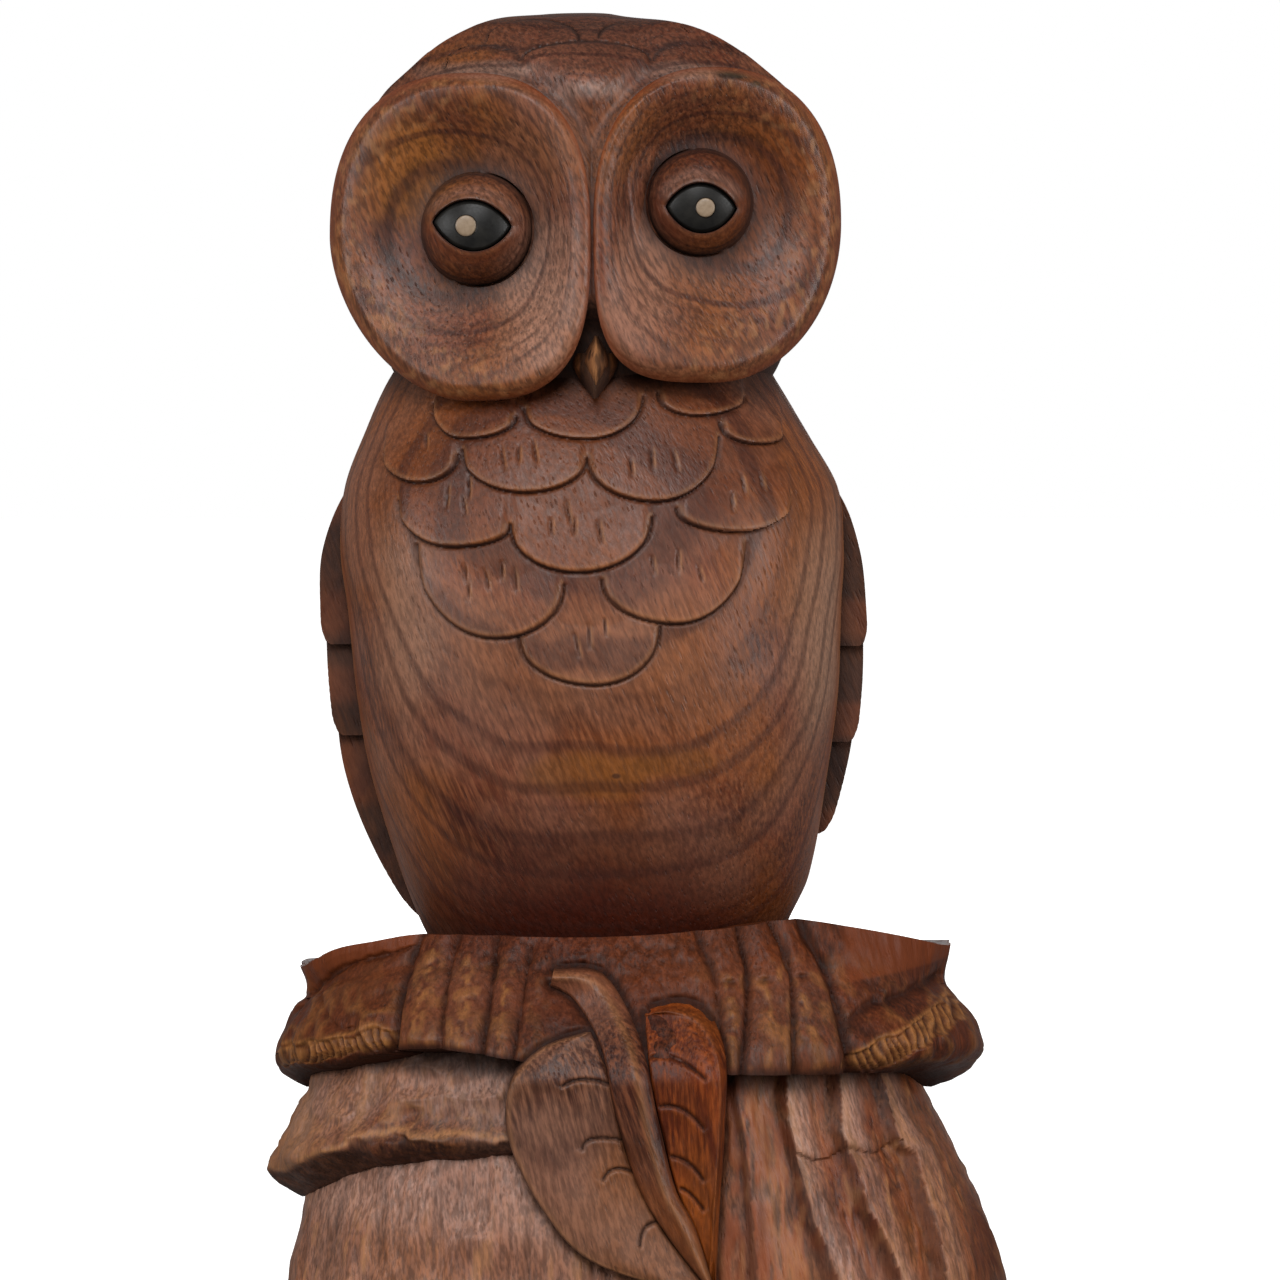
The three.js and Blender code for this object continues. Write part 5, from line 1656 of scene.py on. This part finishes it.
@dataclass
class UpperBand(BarkBand):
    """The fluted band under the owl: creased in the middle, plain slabs over rough lips outside."""
    deepest_crease: float = 2.2
    fine_deep: float = 0.45
    streak_deep: float = 0.8
    facet_deep: float = 0.5
    notch_deep: float = 1.2
    notch_pitch: float = 2.1
    pit_deep: float = 1.2
    pits: tuple[Pair, ...] = ((27.4, 149.5), (37.6, 149.8), (48.8, 150.4), (-42.6, 153.2))
    hollow_deep: float = 1.8
    hollow: Pair = (81.0, 120.5)
    flutes: Pair = (-52.0, 44.0)

    def high(self, angle: Array) -> Array:
        """Upper edge: in front by the share of the side reach, and lower behind."""
        share = round_power(np.sin(angle), STUMP_BEND)
        return lerp(rows_at(RIM_HEIGHTS, share)[..., 0], RIM_BEHIND, smoothstep(-np.cos(angle), 0, 0.5))

    def low(self, angle: Array) -> Array:
        """Lower edge: much higher in front, with a hump left of the middle."""
        return 108.5 + 16.5 * np.sqrt(front_share(angle)) + 7.5 * peak(angle, -34, 22)

    def relief(self, share: Array, plain: Array, cell: BarkCell) -> tuple[Array, ...]:
        """Creases with round flutes between them, chisel notches on the lips, even flutes behind."""
        x, z = plain[..., 0], plain[..., 2]
        behind = smoothstep(plain[..., 1], -20, 12)
        front = 1 - behind
        fine = uneven(plain, 62, (1.3, 1.3, 12))
        streak = uneven(plain, 60, (2.6, 2.6, 22))
        rough = uneven(plain, 63, (6, 6, 7))
        facet = facets(plain, 58, (7, 7, 9))
        crease = bell(cell.near, 0.95) + 0.55 * bell(cell.near, 3.0)
        crease = np.minimum(self.deepest_crease, cell.wide * 0.17) * crease * behind
        stain_and_shade = 0.7 * bell(cell.near, 1.0) * behind
        for groove in GROOVES:
            gap = groove.gap(plain) + 1.6 * (streak - 0.5)
            narrow, broad = bell(gap, groove.wide * 0.8), np.clip(1 - gap / (groove.wide * 3.6), 0, 1)
            crease = np.maximum(crease, groove.deep * (0.6 * narrow + 0.5 * broad))
            stain_and_shade = np.maximum(stain_and_shade, min(groove.deep * 0.34, 0.85) * narrow)
        bulge = smoothstep(np.abs(x), 64, 72) * fall(z, 140, 150) * front
        comb = (np.abs(((x * 0.9 + z * 0.25 + 3 * rough) / self.notch_pitch) % 1 - 0.5) * 2) ** 1.4
        notched, brink = np.zeros(x.shape), np.zeros(x.shape)
        for groove in NOTCHED:
            gap = groove.gap(plain) + 3 * (rough - 0.5)
            notched = np.maximum(notched, fall(gap, groove.wide * 0.75, groove.wide * 1.05))
            over = groove.gap(plain - np.array([0, 0, groove.wide])) + rough - 0.5
            brink = np.maximum(brink, bell(over, 0.9))
        pits = front * sum(bell(np.hypot((x - px) / 1.7, (z - pz) / 0.9), 1.0) for px, pz in self.pits)
        hollow = front * bell(np.hypot((x - self.hollow[0]) / 8, (z - self.hollow[1]) / 3.8), 1.0)
        out = (-crease - self.fine_deep * fine - self.streak_deep * streak
               - self.facet_deep * facet * (1 + 2 * bulge) - self.notch_deep * notched * (0.4 + 0.8 * comb)
               - self.pit_deep * pits - self.hollow_deep * hollow)
        # The lower edge, the creases and the hollow are darkened with painted shade as well as staining.
        low_edge = fall(share, 0, 0.07)
        # The slabs' flat fronts above the lips, and the plain middle, are dark and smooth.
        above = smoothstep(z - np.interp(x, *SLAB_LINE), -0.5, 0.8)
        slab = front * smoothstep(np.abs(x + 2), 60, 66) * above
        cavity_shade_and_stain = most(stain_and_shade, 0.8 * pits, 0.9 * hollow, 0.6 * notched * comb, 0.75 * low_edge, 0.2 * slab,
                      0.25 * smoothstep(fine, 0.6, 0.85) * (1 - slab))
        # Painted highlight streaks run down the flutes, and the flutes' upper part gets a painted sheen.
        light = sum(bell(line.gap(plain), line.wide) for line in HIGHLIGHT_STREAKS)
        aside = reduce(np.minimum, (np.abs(x - middle) for middle in self.flutes))
        fluted = front * bell(aside / 20, 1.0) * fall(z, 150, 158)
        wear_and_highlight = most(0.75 * notched * (1 - comb), 0.6 * brink, 0.4 * light * smoothstep(fine, 0.65, 0.35),
                    0.3 * fluted * smoothstep(streak, 0.55, 0.3), 0.25 * bulge * smoothstep(facet, 0.3, 0.0))
        return out, cavity_shade_and_stain, wear_and_highlight * (1 - low_edge) * (1 - stain_and_shade), 0.6 * slab, 0.3 * fluted * (1 - stain_and_shade)


LEDGE_LIP = np.array(((-112, 85), (-109.8, 86.3), (-99.4, 94), (-91.7, 97.7), (-85.7, 100.6), (-82.4, 103.6),
                      (-68.6, 105.5), (-63.6, 104.2), (-49.6, 106.4), (-46.4, 105.2), (-30, 105)))
LEDGE_RIDGE = grooves((1.2, 0, -79, 120, -80.4, 115.7, -84.4, 103.1))[0]


@dataclass
class LedgeBand(BarkBand):
    """The second ledge, which stands out on the left only, gouged underneath."""
    top_share: float = 1.22
    sunk: float = 14.0
    facet_deep: float = 2.4
    small_deep: float = 0.9
    rough_deep: float = 0.6
    fine_deep: float = 0.4
    undercut: float = 1.2
    scoop_deep: float = 1.6
    scoop_wide: float = 7.5
    ridge_proud: float = 0.7

    def low(self, angle: Array) -> Array:
        """Lower edge: higher in front, with a small hump on the left."""
        return 75.5 + 26 * front_share(angle) ** 1.2 + 2 * peak(angle, -50, 16)

    def row_shares(self) -> Array:
        """Height shares, which go on up behind the band above."""
        return np.linspace(0, self.top_share, self.rows)

    def relief(self, share: Array, plain: Array, cell: BarkCell) -> tuple[Array, ...]:
        """Knife facets over a ragged lip, deep scoops under it, and the right side sunk out of sight."""
        x, z = plain[..., 0], plain[..., 2]
        angle = np.degrees(np.arctan2(x, -plain[..., 1]))
        right = smoothstep(angle, 5, 25) * fall(angle, 150, 180)
        front = smoothstep(-plain[..., 1], 5, 30)
        rough = uneven(plain, 64, (3, 3, 4))
        streak = uneven(plain, 65, (1.6, 1.6, 7))
        mottled = uneven(plain, 55, (8, 8, 8))
        facet, small = facets(plain, 69, (11, 11, 10)), facets(plain, 57, (5, 5, 5))
        gouge = 1 - cell.across ** 2
        lip_height = np.interp(x, LEDGE_LIP[:, 0], LEDGE_LIP[:, 1]) + 1.6 * (rough - 0.5)
        below_lip = lerp((0.2 - share) * 40, lip_height - z, front)
        under = smoothstep(below_lip, -0.3, 1.6)
        over = 1 - under
        ridge = bell(LEDGE_RIDGE.gap(plain) + rough - 0.5, LEDGE_RIDGE.wide)
        scoops = np.clip(below_lip / 5, 0, 1) * np.abs(np.sin(x / self.scoop_wide + 0.6))
        out = (-self.fine_deep * (gouge + streak) - self.sunk * right - self.rough_deep * rough
               - self.facet_deep * facet * over - self.small_deep * small
               - front * under * (self.undercut + self.scoop_deep * scoops) + self.ridge_proud * ridge)
        # Under the lip and under the band above, the wood is darkened with painted shade.
        cavity_shade_and_stain = most(lerp(0.18, lerp(0.45, 0.75, smoothstep(streak, 0.3, 0.7)), under),
                      0.9 * smoothstep(share, 0.8, 1.0), 0.35 * smoothstep(facet, 0.45, 0.8),
                      0.35 * smoothstep(streak, 0.6, 0.8))
        # The lip's edge is lighter, worn and with a painted highlight.
        lip = bell(below_lip + 0.9, 1.0)
        curl = smoothstep(small, 0.14, 0.02) * smoothstep(below_lip + 16, 0, 8)
        spots = smoothstep(mottled, 0.52, 0.68) * smoothstep(12 + below_lip, 0, 6)
        spots = spots * smoothstep(small, 0.5, 0.15)
        wear_and_highlight = most(0.65 * lip, 0.35 * curl * over, 0.5 * ridge, 0.4 * smoothstep(-x, 94, 101) * over,
                    0.2 * smoothstep(streak, 0.45, 0.25) * over, 0.4 * spots * over)
        # The faces above the lip get a painted sheen.
        pale = over * front * lerp(0.15, 0.6, smoothstep(-below_lip - 10 * (mottled - 0.5), 3, 10))
        return out, cavity_shade_and_stain, wear_and_highlight, 0.0, pale


LOWER_RIDGES = (
    ((0, 18), (120, 18)),
    ((0, 38), (65.5, 35.3), (88.7, 33), (106.1, 30.9), (120.6, 28.6)),
    ((0, 68), (64.8, 58.6), (73.1, 55.2), (80.8, 51.2), (89.7, 49.2), (99, 47.1), (107, 45.3), (117.5, 43.9)),
    ((0, 86), (62.4, 78.1), (67.5, 75.8), (76, 71.6), (82.3, 68), (87.7, 66.5), (93.6, 65.6), (99.4, 63.2),
     (104.8, 60.5), (119.4, 60.2)),
    ((0, 98), (62.3, 91.7), (71.4, 89.7), (81, 87.1), (95.1, 83.3), (99.2, 79.2), (104.9, 76.3),
     (118.8, 72.6)),
    ((0, 114), (62, 110), (80, 105), (95, 99.5), (105, 93.5), (118, 88)),
)


@dataclass
class LowerBark(BarkBand):
    """The gouged bark below, down to the flat underside."""
    cuts_deep: tuple[float, ...] = (1.2, 2.6, 3.2, 3.2, 2.6)
    # Where a cut ends in a U under the band. It ends in another so far below.
    cut_tops: tuple[float, ...] = (-200.0, -200.0, 100.3, 100.7, -200.0)
    next_end: float = 46.0
    end_round: float = 2.4
    end_deep: float = 1.2
    end_long: float = 9.0
    scoop_deep: float = 2.0
    streak_deep: float = 0.7
    broad_deep: float = 0.5
    rough_deep: float = 0.5
    facet_deep: float = 1.8

    def shingles(self, plain: Array) -> tuple[Array, Array]:
        """Which right-hand gouge cut a point lies in, and its share across it from the left ridge."""
        x, z = plain[..., 0], plain[..., 2]
        sway = 1.5 * (uneven(plain, 56, (14, 14, 16)) - 0.5)
        lines = np.array([np.interp(z, *np.array(line).T) for line in LOWER_RIDGES]) + sway
        number = np.clip((x > lines).sum(0) - 1, 0, len(lines) - 2)
        left, right = (np.take_along_axis(lines, (number + k)[None], 0)[0] for k in (0, 1))
        return number, np.clip((x - left) / (right - left), 0, 1)

    def relief(self, share: Array, plain: Array, cell: BarkCell) -> tuple[Array, ...]:
        """Gouge cuts like shingles on the right, each from a sharp ridge down to the next one's wall.

        Elsewhere there are knife streaks on the left and shallow scoops behind.
        """
        x, y, z = np.moveaxis(plain, -1, 0)
        streak = uneven(plain, 66, (1.4, 1.4, 14))
        broad = uneven(plain, 59, (4, 4, 26))
        rough = uneven(plain, 67, (6, 6, 11))
        facet = facets(plain, 68, (12, 12, 17))
        number, across = self.shingles(plain)
        behind = smoothstep(y, -5, 15)
        right = smoothstep(x, 17, 22) * smoothstep(-y, -5, 15)
        left = (1 - right) * (1 - behind)
        cut = np.array(self.cuts_deep)[number] * smoothstep(across, 0.0, 0.75)
        cut = cut * (1 - 0.9 * smoothstep(across, 0.84, 1.0))
        end = np.array(self.cut_tops)[number] - self.end_round * (1 - ((across - 0.5) / 0.45) ** 2)
        ends = (end, end - self.next_end)
        below = reduce(np.minimum, (np.where(top - z > 0, top - z, FAR) for top in ends))
        smooth_top = smoothstep(z - end, 0, 2) * np.isin(number, (2, 3))
        step = np.exp(-below / self.end_long) * smoothstep(below, 0, 0.8)
        out = (-right * (cut + self.end_deep * step) - self.scoop_deep * behind * (1 - cell.across ** 2)
               - (self.streak_deep * streak + self.broad_deep * broad) * (1 - 0.6 * smooth_top)
               - self.rough_deep * rough - self.facet_deep * left * facet)
        # A painted highlight runs down each ridge.
        ridge = right * bell((across - 0.07) * 14, 1.5) * smoothstep(rough, 0.2, 0.6) * (number > 1)
        dark_streak = smoothstep(streak, 0.58, 0.82) * (1 - 0.8 * smooth_top)
        # Painted shade darkens each cut towards the next one's wall, the step below each U end and the top
        # under the ledge.
        cavity_shade_and_stain = most(0.62 * right * smoothstep(across, 0.6, 0.97), 0.35 * right * bell(below, 0.8),
                      0.4 * dark_streak, 0.75 * smoothstep(share, 0.9, 0.99),
                      0.3 * smoothstep(broad, 0.55, 0.8))
        golden = smoothstep(broad, 0.5, 0.25) * smoothstep(streak, 0.5, 0.25) * (1 - smooth_top)
        under_ledge = smoothstep(z, 70, 84) * left
        smooth = lerp(smoothstep(across, 0.35, 0.6) * 0.5, 0.85, number < 2)
        warm = right * smooth * smoothstep(streak, 0.7, 0.4)
        wear_and_highlight = most(0.35 * ridge, 0.4 * golden * (1 - 0.6 * under_ledge),
                    0.3 * right * (number == 1) * bell(across - 0.45, 0.25))
        # Painted sheen on the left part of each cut on the right, and on the left side under the ledge.
        painted_sheen = right * fall(across, 0.2, 0.66) * lerp(0.45, 0.9, smooth_top) * np.where(number < 2, 0.2, 1)
        pale = lerp(0.35, 0.85, smoothstep(z, 70, 84) * left) * left
        return out, cavity_shade_and_stain, wear_and_highlight, warm, np.maximum(painted_sheen, pale)


@dataclass
class Stump:
    """The bark stump, as three bands."""
    dark_wood: Material
    wood: Material

    def bands(self) -> tuple[BarkBand, ...]:
        """The bands, from the top down."""
        flutes = (-1, -0.93, -0.85, -0.76, -0.655, -0.525, -0.426, -0.33,
                  0.235, 0.35, 0.47, 0.62, 0.74, 0.84, 0.93, 1)
        gouges = (-1, -0.93, -0.83, -0.7, -0.56, -0.43, -0.3, 0.31, 0.45, 0.6, 0.755, 0.89, 1)
        upper = ((1, 102.4, 95.3, 57, 72), (0.74, 100.2, 93.6, 64, 74), (0.64, 104, 95.4, 67, 77),
                 (0.46, 107, 101.6, 72, 80), (0.22, 109.5, 105, 79, 80), (0.09, 108, 100.3, 82, 78),
                 (0, 101.7, 91, 83.5, 73))
        ledge = ((1.22, 95, 80, 74, 76), (1, 96, 80, 76, 76), (0.69, 100.8, 82, 78, 78),
                 (0.36, 108.6, 84, 80.5, 82), (0.2, 113, 85, 82, 84), (0.09, 109, 85, 81, 82),
                 (0, 102, 83, 77, 78))
        lower = ((1, 84, 80, 70, 72), (0.86, 90.5, 88.2, 75, 77), (0.7, 98, 98.8, 79, 81),
                 (0.52, 103.9, 108.7, 82, 84.5), (0.36, 107, 113, 84.5, 87.5),
                 (0.15, 108.5, 113, 86, 90), (0, 106.5, 111, 85, 89))
        return (UpperBand("bark_upper_band", self.dark_wood, upper, flutes, rows=120),
                LedgeBand("bark_ledge", self.wood, ledge, gouges, rows=90),
                LowerBark("bark_below", self.wood, lower, gouges, rows=150, front=320))

    def build(self) -> None:
        """Makes the bands."""
        for band in self.bands():
            band.build()


# The studio

@dataclass
class Studio:
    """The camera at the photo's place, a pale floor and soft light from large lamps."""
    place: Triple = (0.9, -1500.0, 350.0)
    pitch: float = 4.046
    lens: float = 140.98
    floor_colour: str = "#f6f5f3"
    floor_glow: float = 0.56
    floor_half: float = 6.0
    floor_drop: float = 2e-4
    world_light: float = 0.2
    key_light: float = 2.35
    key_spread: float = 30.0
    key_turn: Triple = (51.0, 0.0, -4.0)
    aim: float = 0.24
    lamps: tuple[tuple[str, Triple, float, float], ...] = (
        ("left_lamp", (-1.15, -0.75, 0.55), 0.6, 9.0), ("right_lamp", (1.15, -0.75, 0.5), 0.6, 11.0),
        ("eye_light", (-0.3, -1.3, 0.75), 0.25, 1.6), ("back_light", (0.0, 1.4, 0.3), 0.5, 2.0))

    def build(self) -> None:
        """Makes the camera, the floor, the world and the lamps."""
        scene = bpy.context.scene
        lens = bpy.data.cameras.new("camera")
        lens.lens, lens.sensor_width, lens.clip_end = self.lens, 36.0, 50.0
        camera = bpy.data.objects.new("camera", lens)
        camera.location = [v * METRE for v in self.place]
        camera.rotation_euler = (math.radians(90 - self.pitch), 0, 0)
        scene.collection.objects.link(camera)
        scene.camera = camera
        self.build_floor()
        world = bpy.data.worlds.new("studio_world")
        world.use_nodes = True
        back = world.node_tree.nodes["Background"]
        seen = add_node(world.node_tree, "LightPath", {}, "Is Camera Ray")
        strength = add_node(world.node_tree, "Mix", {0: seen, 2: self.world_light, 3: 1.0}, data_type="FLOAT")
        back.inputs[0].default_value = (1, 1, 1, 1)
        world.node_tree.links.new(strength, back.inputs[1])
        scene.world = world
        scene.view_settings.view_transform = "Standard"
        sun = bpy.data.lights.new("soft_key", "SUN")
        sun.energy, sun.angle = self.key_light, math.radians(self.key_spread)
        key = bpy.data.objects.new("soft_key", sun)
        key.rotation_euler = [math.radians(turn) for turn in self.key_turn]
        scene.collection.objects.link(key)
        for name, place, size, power in self.lamps:
            self.lamp(name, place, size, power)

    def build_floor(self) -> None:
        """Makes the floor, a plane far larger than the view."""
        made = bpy.data.meshes.new("floor")
        corners = ((-1, -1), (1, -1), (1, 1), (-1, 1))
        made.from_pydata([(x * self.floor_half, y * self.floor_half, -self.floor_drop) for x, y in corners],
                         [], [(0, 1, 2, 3)])
        made.materials.append(Finish("pale_studio_floor").surfaced({
            "Base Color": linear(self.floor_colour), "Roughness": 0.8,
            "Emission Color": (1, 1, 1, 1), "Emission Strength": self.floor_glow}))
        floor = bpy.data.objects.new("floor", made)
        # The floor's own brightness isn't thrown back on the wood.
        floor.visible_diffuse = floor.visible_glossy = False
        bpy.context.scene.collection.objects.link(floor)

    def lamp(self, name: str, place: Triple, size: float, power: float) -> None:
        """Adds a square lamp that faces the owl.

        Args:
            name: name of the lamp.
            place: where it is, in metres.
            size: length of its side, in metres.
            power: its power in watts.
        """
        data = bpy.data.lights.new(name, "AREA")
        data.size, data.energy = size, power
        lamp = bpy.data.objects.new(name, data)
        x, y, z = lamp.location = place
        lamp.rotation_euler = (math.atan2(math.hypot(x, y), z - self.aim), 0, math.atan2(y, x) + math.pi / 2)
        bpy.context.scene.collection.objects.link(lamp)


BODY_PATCHES = patches(
    # The breast under the head is darker with painted shade; the belly's own tone is lighter.
    ("#4f2409", -14, -60, 300, 96, 50, 42, 0.78, 0.12), ("#74492f", -14, -60, 246, 62, 40, 26, 0.45, 0.12),
    # Painted highlights down the belly's two sides.
    ("#8a6650", -66, -40, 252, 16, 40, 42, 0.5, 0.1), ("#8f6c56", 56, -40, 252, 18, 40, 46, 0.6, 0.1),
    ("#6c4012", -14, -70, 209, 25, 30, 9, 0.5), ("#663b10", 14, -70, 213, 15, 30, 6, 0.45),
    ("#180c08", -6, -70, 209.5, 1.6, 10, 1, 0.7), ("#330c02", -12, -60, 142, 110, 90, 74, 0.97, 0.04),
    # Painted shade under the chin.
    ("#2c1007", -14, -50, 333, 64, 60, 15, 0.85, 0.1),
)
FACE_PATCHES = patches(
    # Painted shade on the crown; golden wood on the left disc.
    ("#3f2115", -14, -40, 426, 70, 60, 18, 0.6), ("#7c4a1a", -66, -45, 384, 24, 40, 22, 0.6),
    # Painted shade on the right disc's outer side; a painted highlight low on the left disc's inner side.
    ("#582a09", 42, -50, 368, 28, 40, 36, 0.75), ("#856150", -26, -55, 350, 16, 40, 34, 0.7),
    # A painted highlight low on the right disc's inner side; the left mound darker, with painted shade round
    # it.
    ("#805946", 0, -55, 348, 13, 40, 26, 0.6), ("#32140a", -46, -55, 366, 20, 30, 20, 0.65),
    # The right mound darker, with painted shade round it; painted sheen along the brow.
    ("#32140a", 18, -55, 374, 19, 30, 19, 0.65), ("#765c50", -44, -50, 412, 24, 40, 4, 0.6),
    # Painted sheen along the brow.
    ("#765c50", -14, -50, 406, 14, 40, 5, 0.6), ("#765c50", 14, -50, 411, 18, 40, 4, 0.5),
    ("#151a14", 27.5, -50, 410.5, 7.5, 14, 2.6, 0.9), ("#151a14", 34.5, -50, 408, 2.4, 14, 1.6, 0.8),
)


def main() -> None:
    """Builds the owl, its eyes, its stump and leaf, and the studio."""
    logging.basicConfig(level=logging.INFO, format="%(name)s: %(message)s")
    body_wood = CarvedWood(dark="#38170c", ring_share=0.52, patches=BODY_PATCHES).material()
    face_wood = CarvedWood(
        "oiled_carved_hardwood_face", light="#673920", golden="#704018", mauve="#6e4a3a", golden_share=0.5,
        mauve_share=0.3, layer=1.7, tilt=0.08, sway=5.0, fleck_low=0.66, fleck_high=1.36, pore_share=0.4,
        patches=FACE_PATCHES).material()
    band_wood = CarvedWood(
        "oiled_carved_bark_dark", dark="#240c05", middle="#401909", light="#582812", golden="#5c2c0d",
        mauve="#4b291b", rubbed_and_highlight="#a36d3b", painted_sheen="#774c38", mauve_share=0.25, golden_share=0.3,
        ring_share=0.3, lean=6.0, pore_share=0.15, gloss=0.12).material()
    bark_wood = CarvedWood(
        "oiled_carved_bark", light="#7a4727", golden="#854c20", mauve="#7d594a", rubbed_and_highlight="#b07c50",
        painted_sheen="#957263", golden_share=0.45, ring_share=0.3, fleck_low=0.7, fleck_high=1.3, lean=7.0,
        gloss=0.2).material()
    leaf_wood = CarvedWood(
        "oiled_carved_leaf_grey", middle="#522e1d", light="#734a34", golden="#70431f", mauve="#715041",
        ring_share=0.3, fleck_low=0.78, fleck_high=1.22, lean=14.0, gloss=0.2).material()
    orange_wood = CarvedWood(
        "oiled_carved_leaf_orange", dark="#42190a", middle="#64290e", light="#763813", golden="#6f3a0e",
        mauve="#5c2e14", rubbed_and_highlight="#875330", golden_share=0.45, mauve_share=0.2, ring_share=0.3, lean=4.0,
        gloss=0.12).material()
    stem_wood = CarvedWood(
        "oiled_carved_leaf_stem", middle="#4c2311", light="#693a22", golden="#6b3a17", mauve="#6a4534",
        painted_sheen="#7d5a49", ring_share=0.2, mauve_share=0.3, lean=20.0, gloss=0.2).material()
    black, pale = PolishedInlay().material(), PalePin().material()
    Torso(body_wood).build()
    for side, rows in ((Side.LEFT, LEFT_WING_ROWS), (Side.RIGHT, RIGHT_WING_ROWS)):
        Wing(body_wood, side, rows).build()
    Tail(body_wood).build()
    HeadBlock(face_wood).build()
    for side, disc, eye in (("left", LEFT_DISC, LEFT_EYE), ("right", RIGHT_DISC, RIGHT_EYE)):
        FaceDisc(f"{side}_face_disc", face_wood, disc, eye).build()
    Bill("beak", face_wood, -11.7, ((335.5, 0.6, 57.5), (327.6, 3.9, 64), (321.6, 0.6, 65.5)), wear_and_highlight=1.0,
         streaks=0.8).build()
    Bill("beak_lip", face_wood, -12.1, ((330.5, 7, 55), (325.5, 6, 60), (317.6, 0.8, 61)), wear_and_highlight=0.55,
         hidden_half=3.9).build()
    for side, eye in (("left", LEFT_EYE), ("right", RIGHT_EYE)):
        EyeInlay(side, eye, black, pale).build()
    Stump(band_wood, bark_wood).build()
    Leaf((leaf_wood, orange_wood, stem_wood)).build()
    Studio().build()


if __name__ == "__main__":
    main()
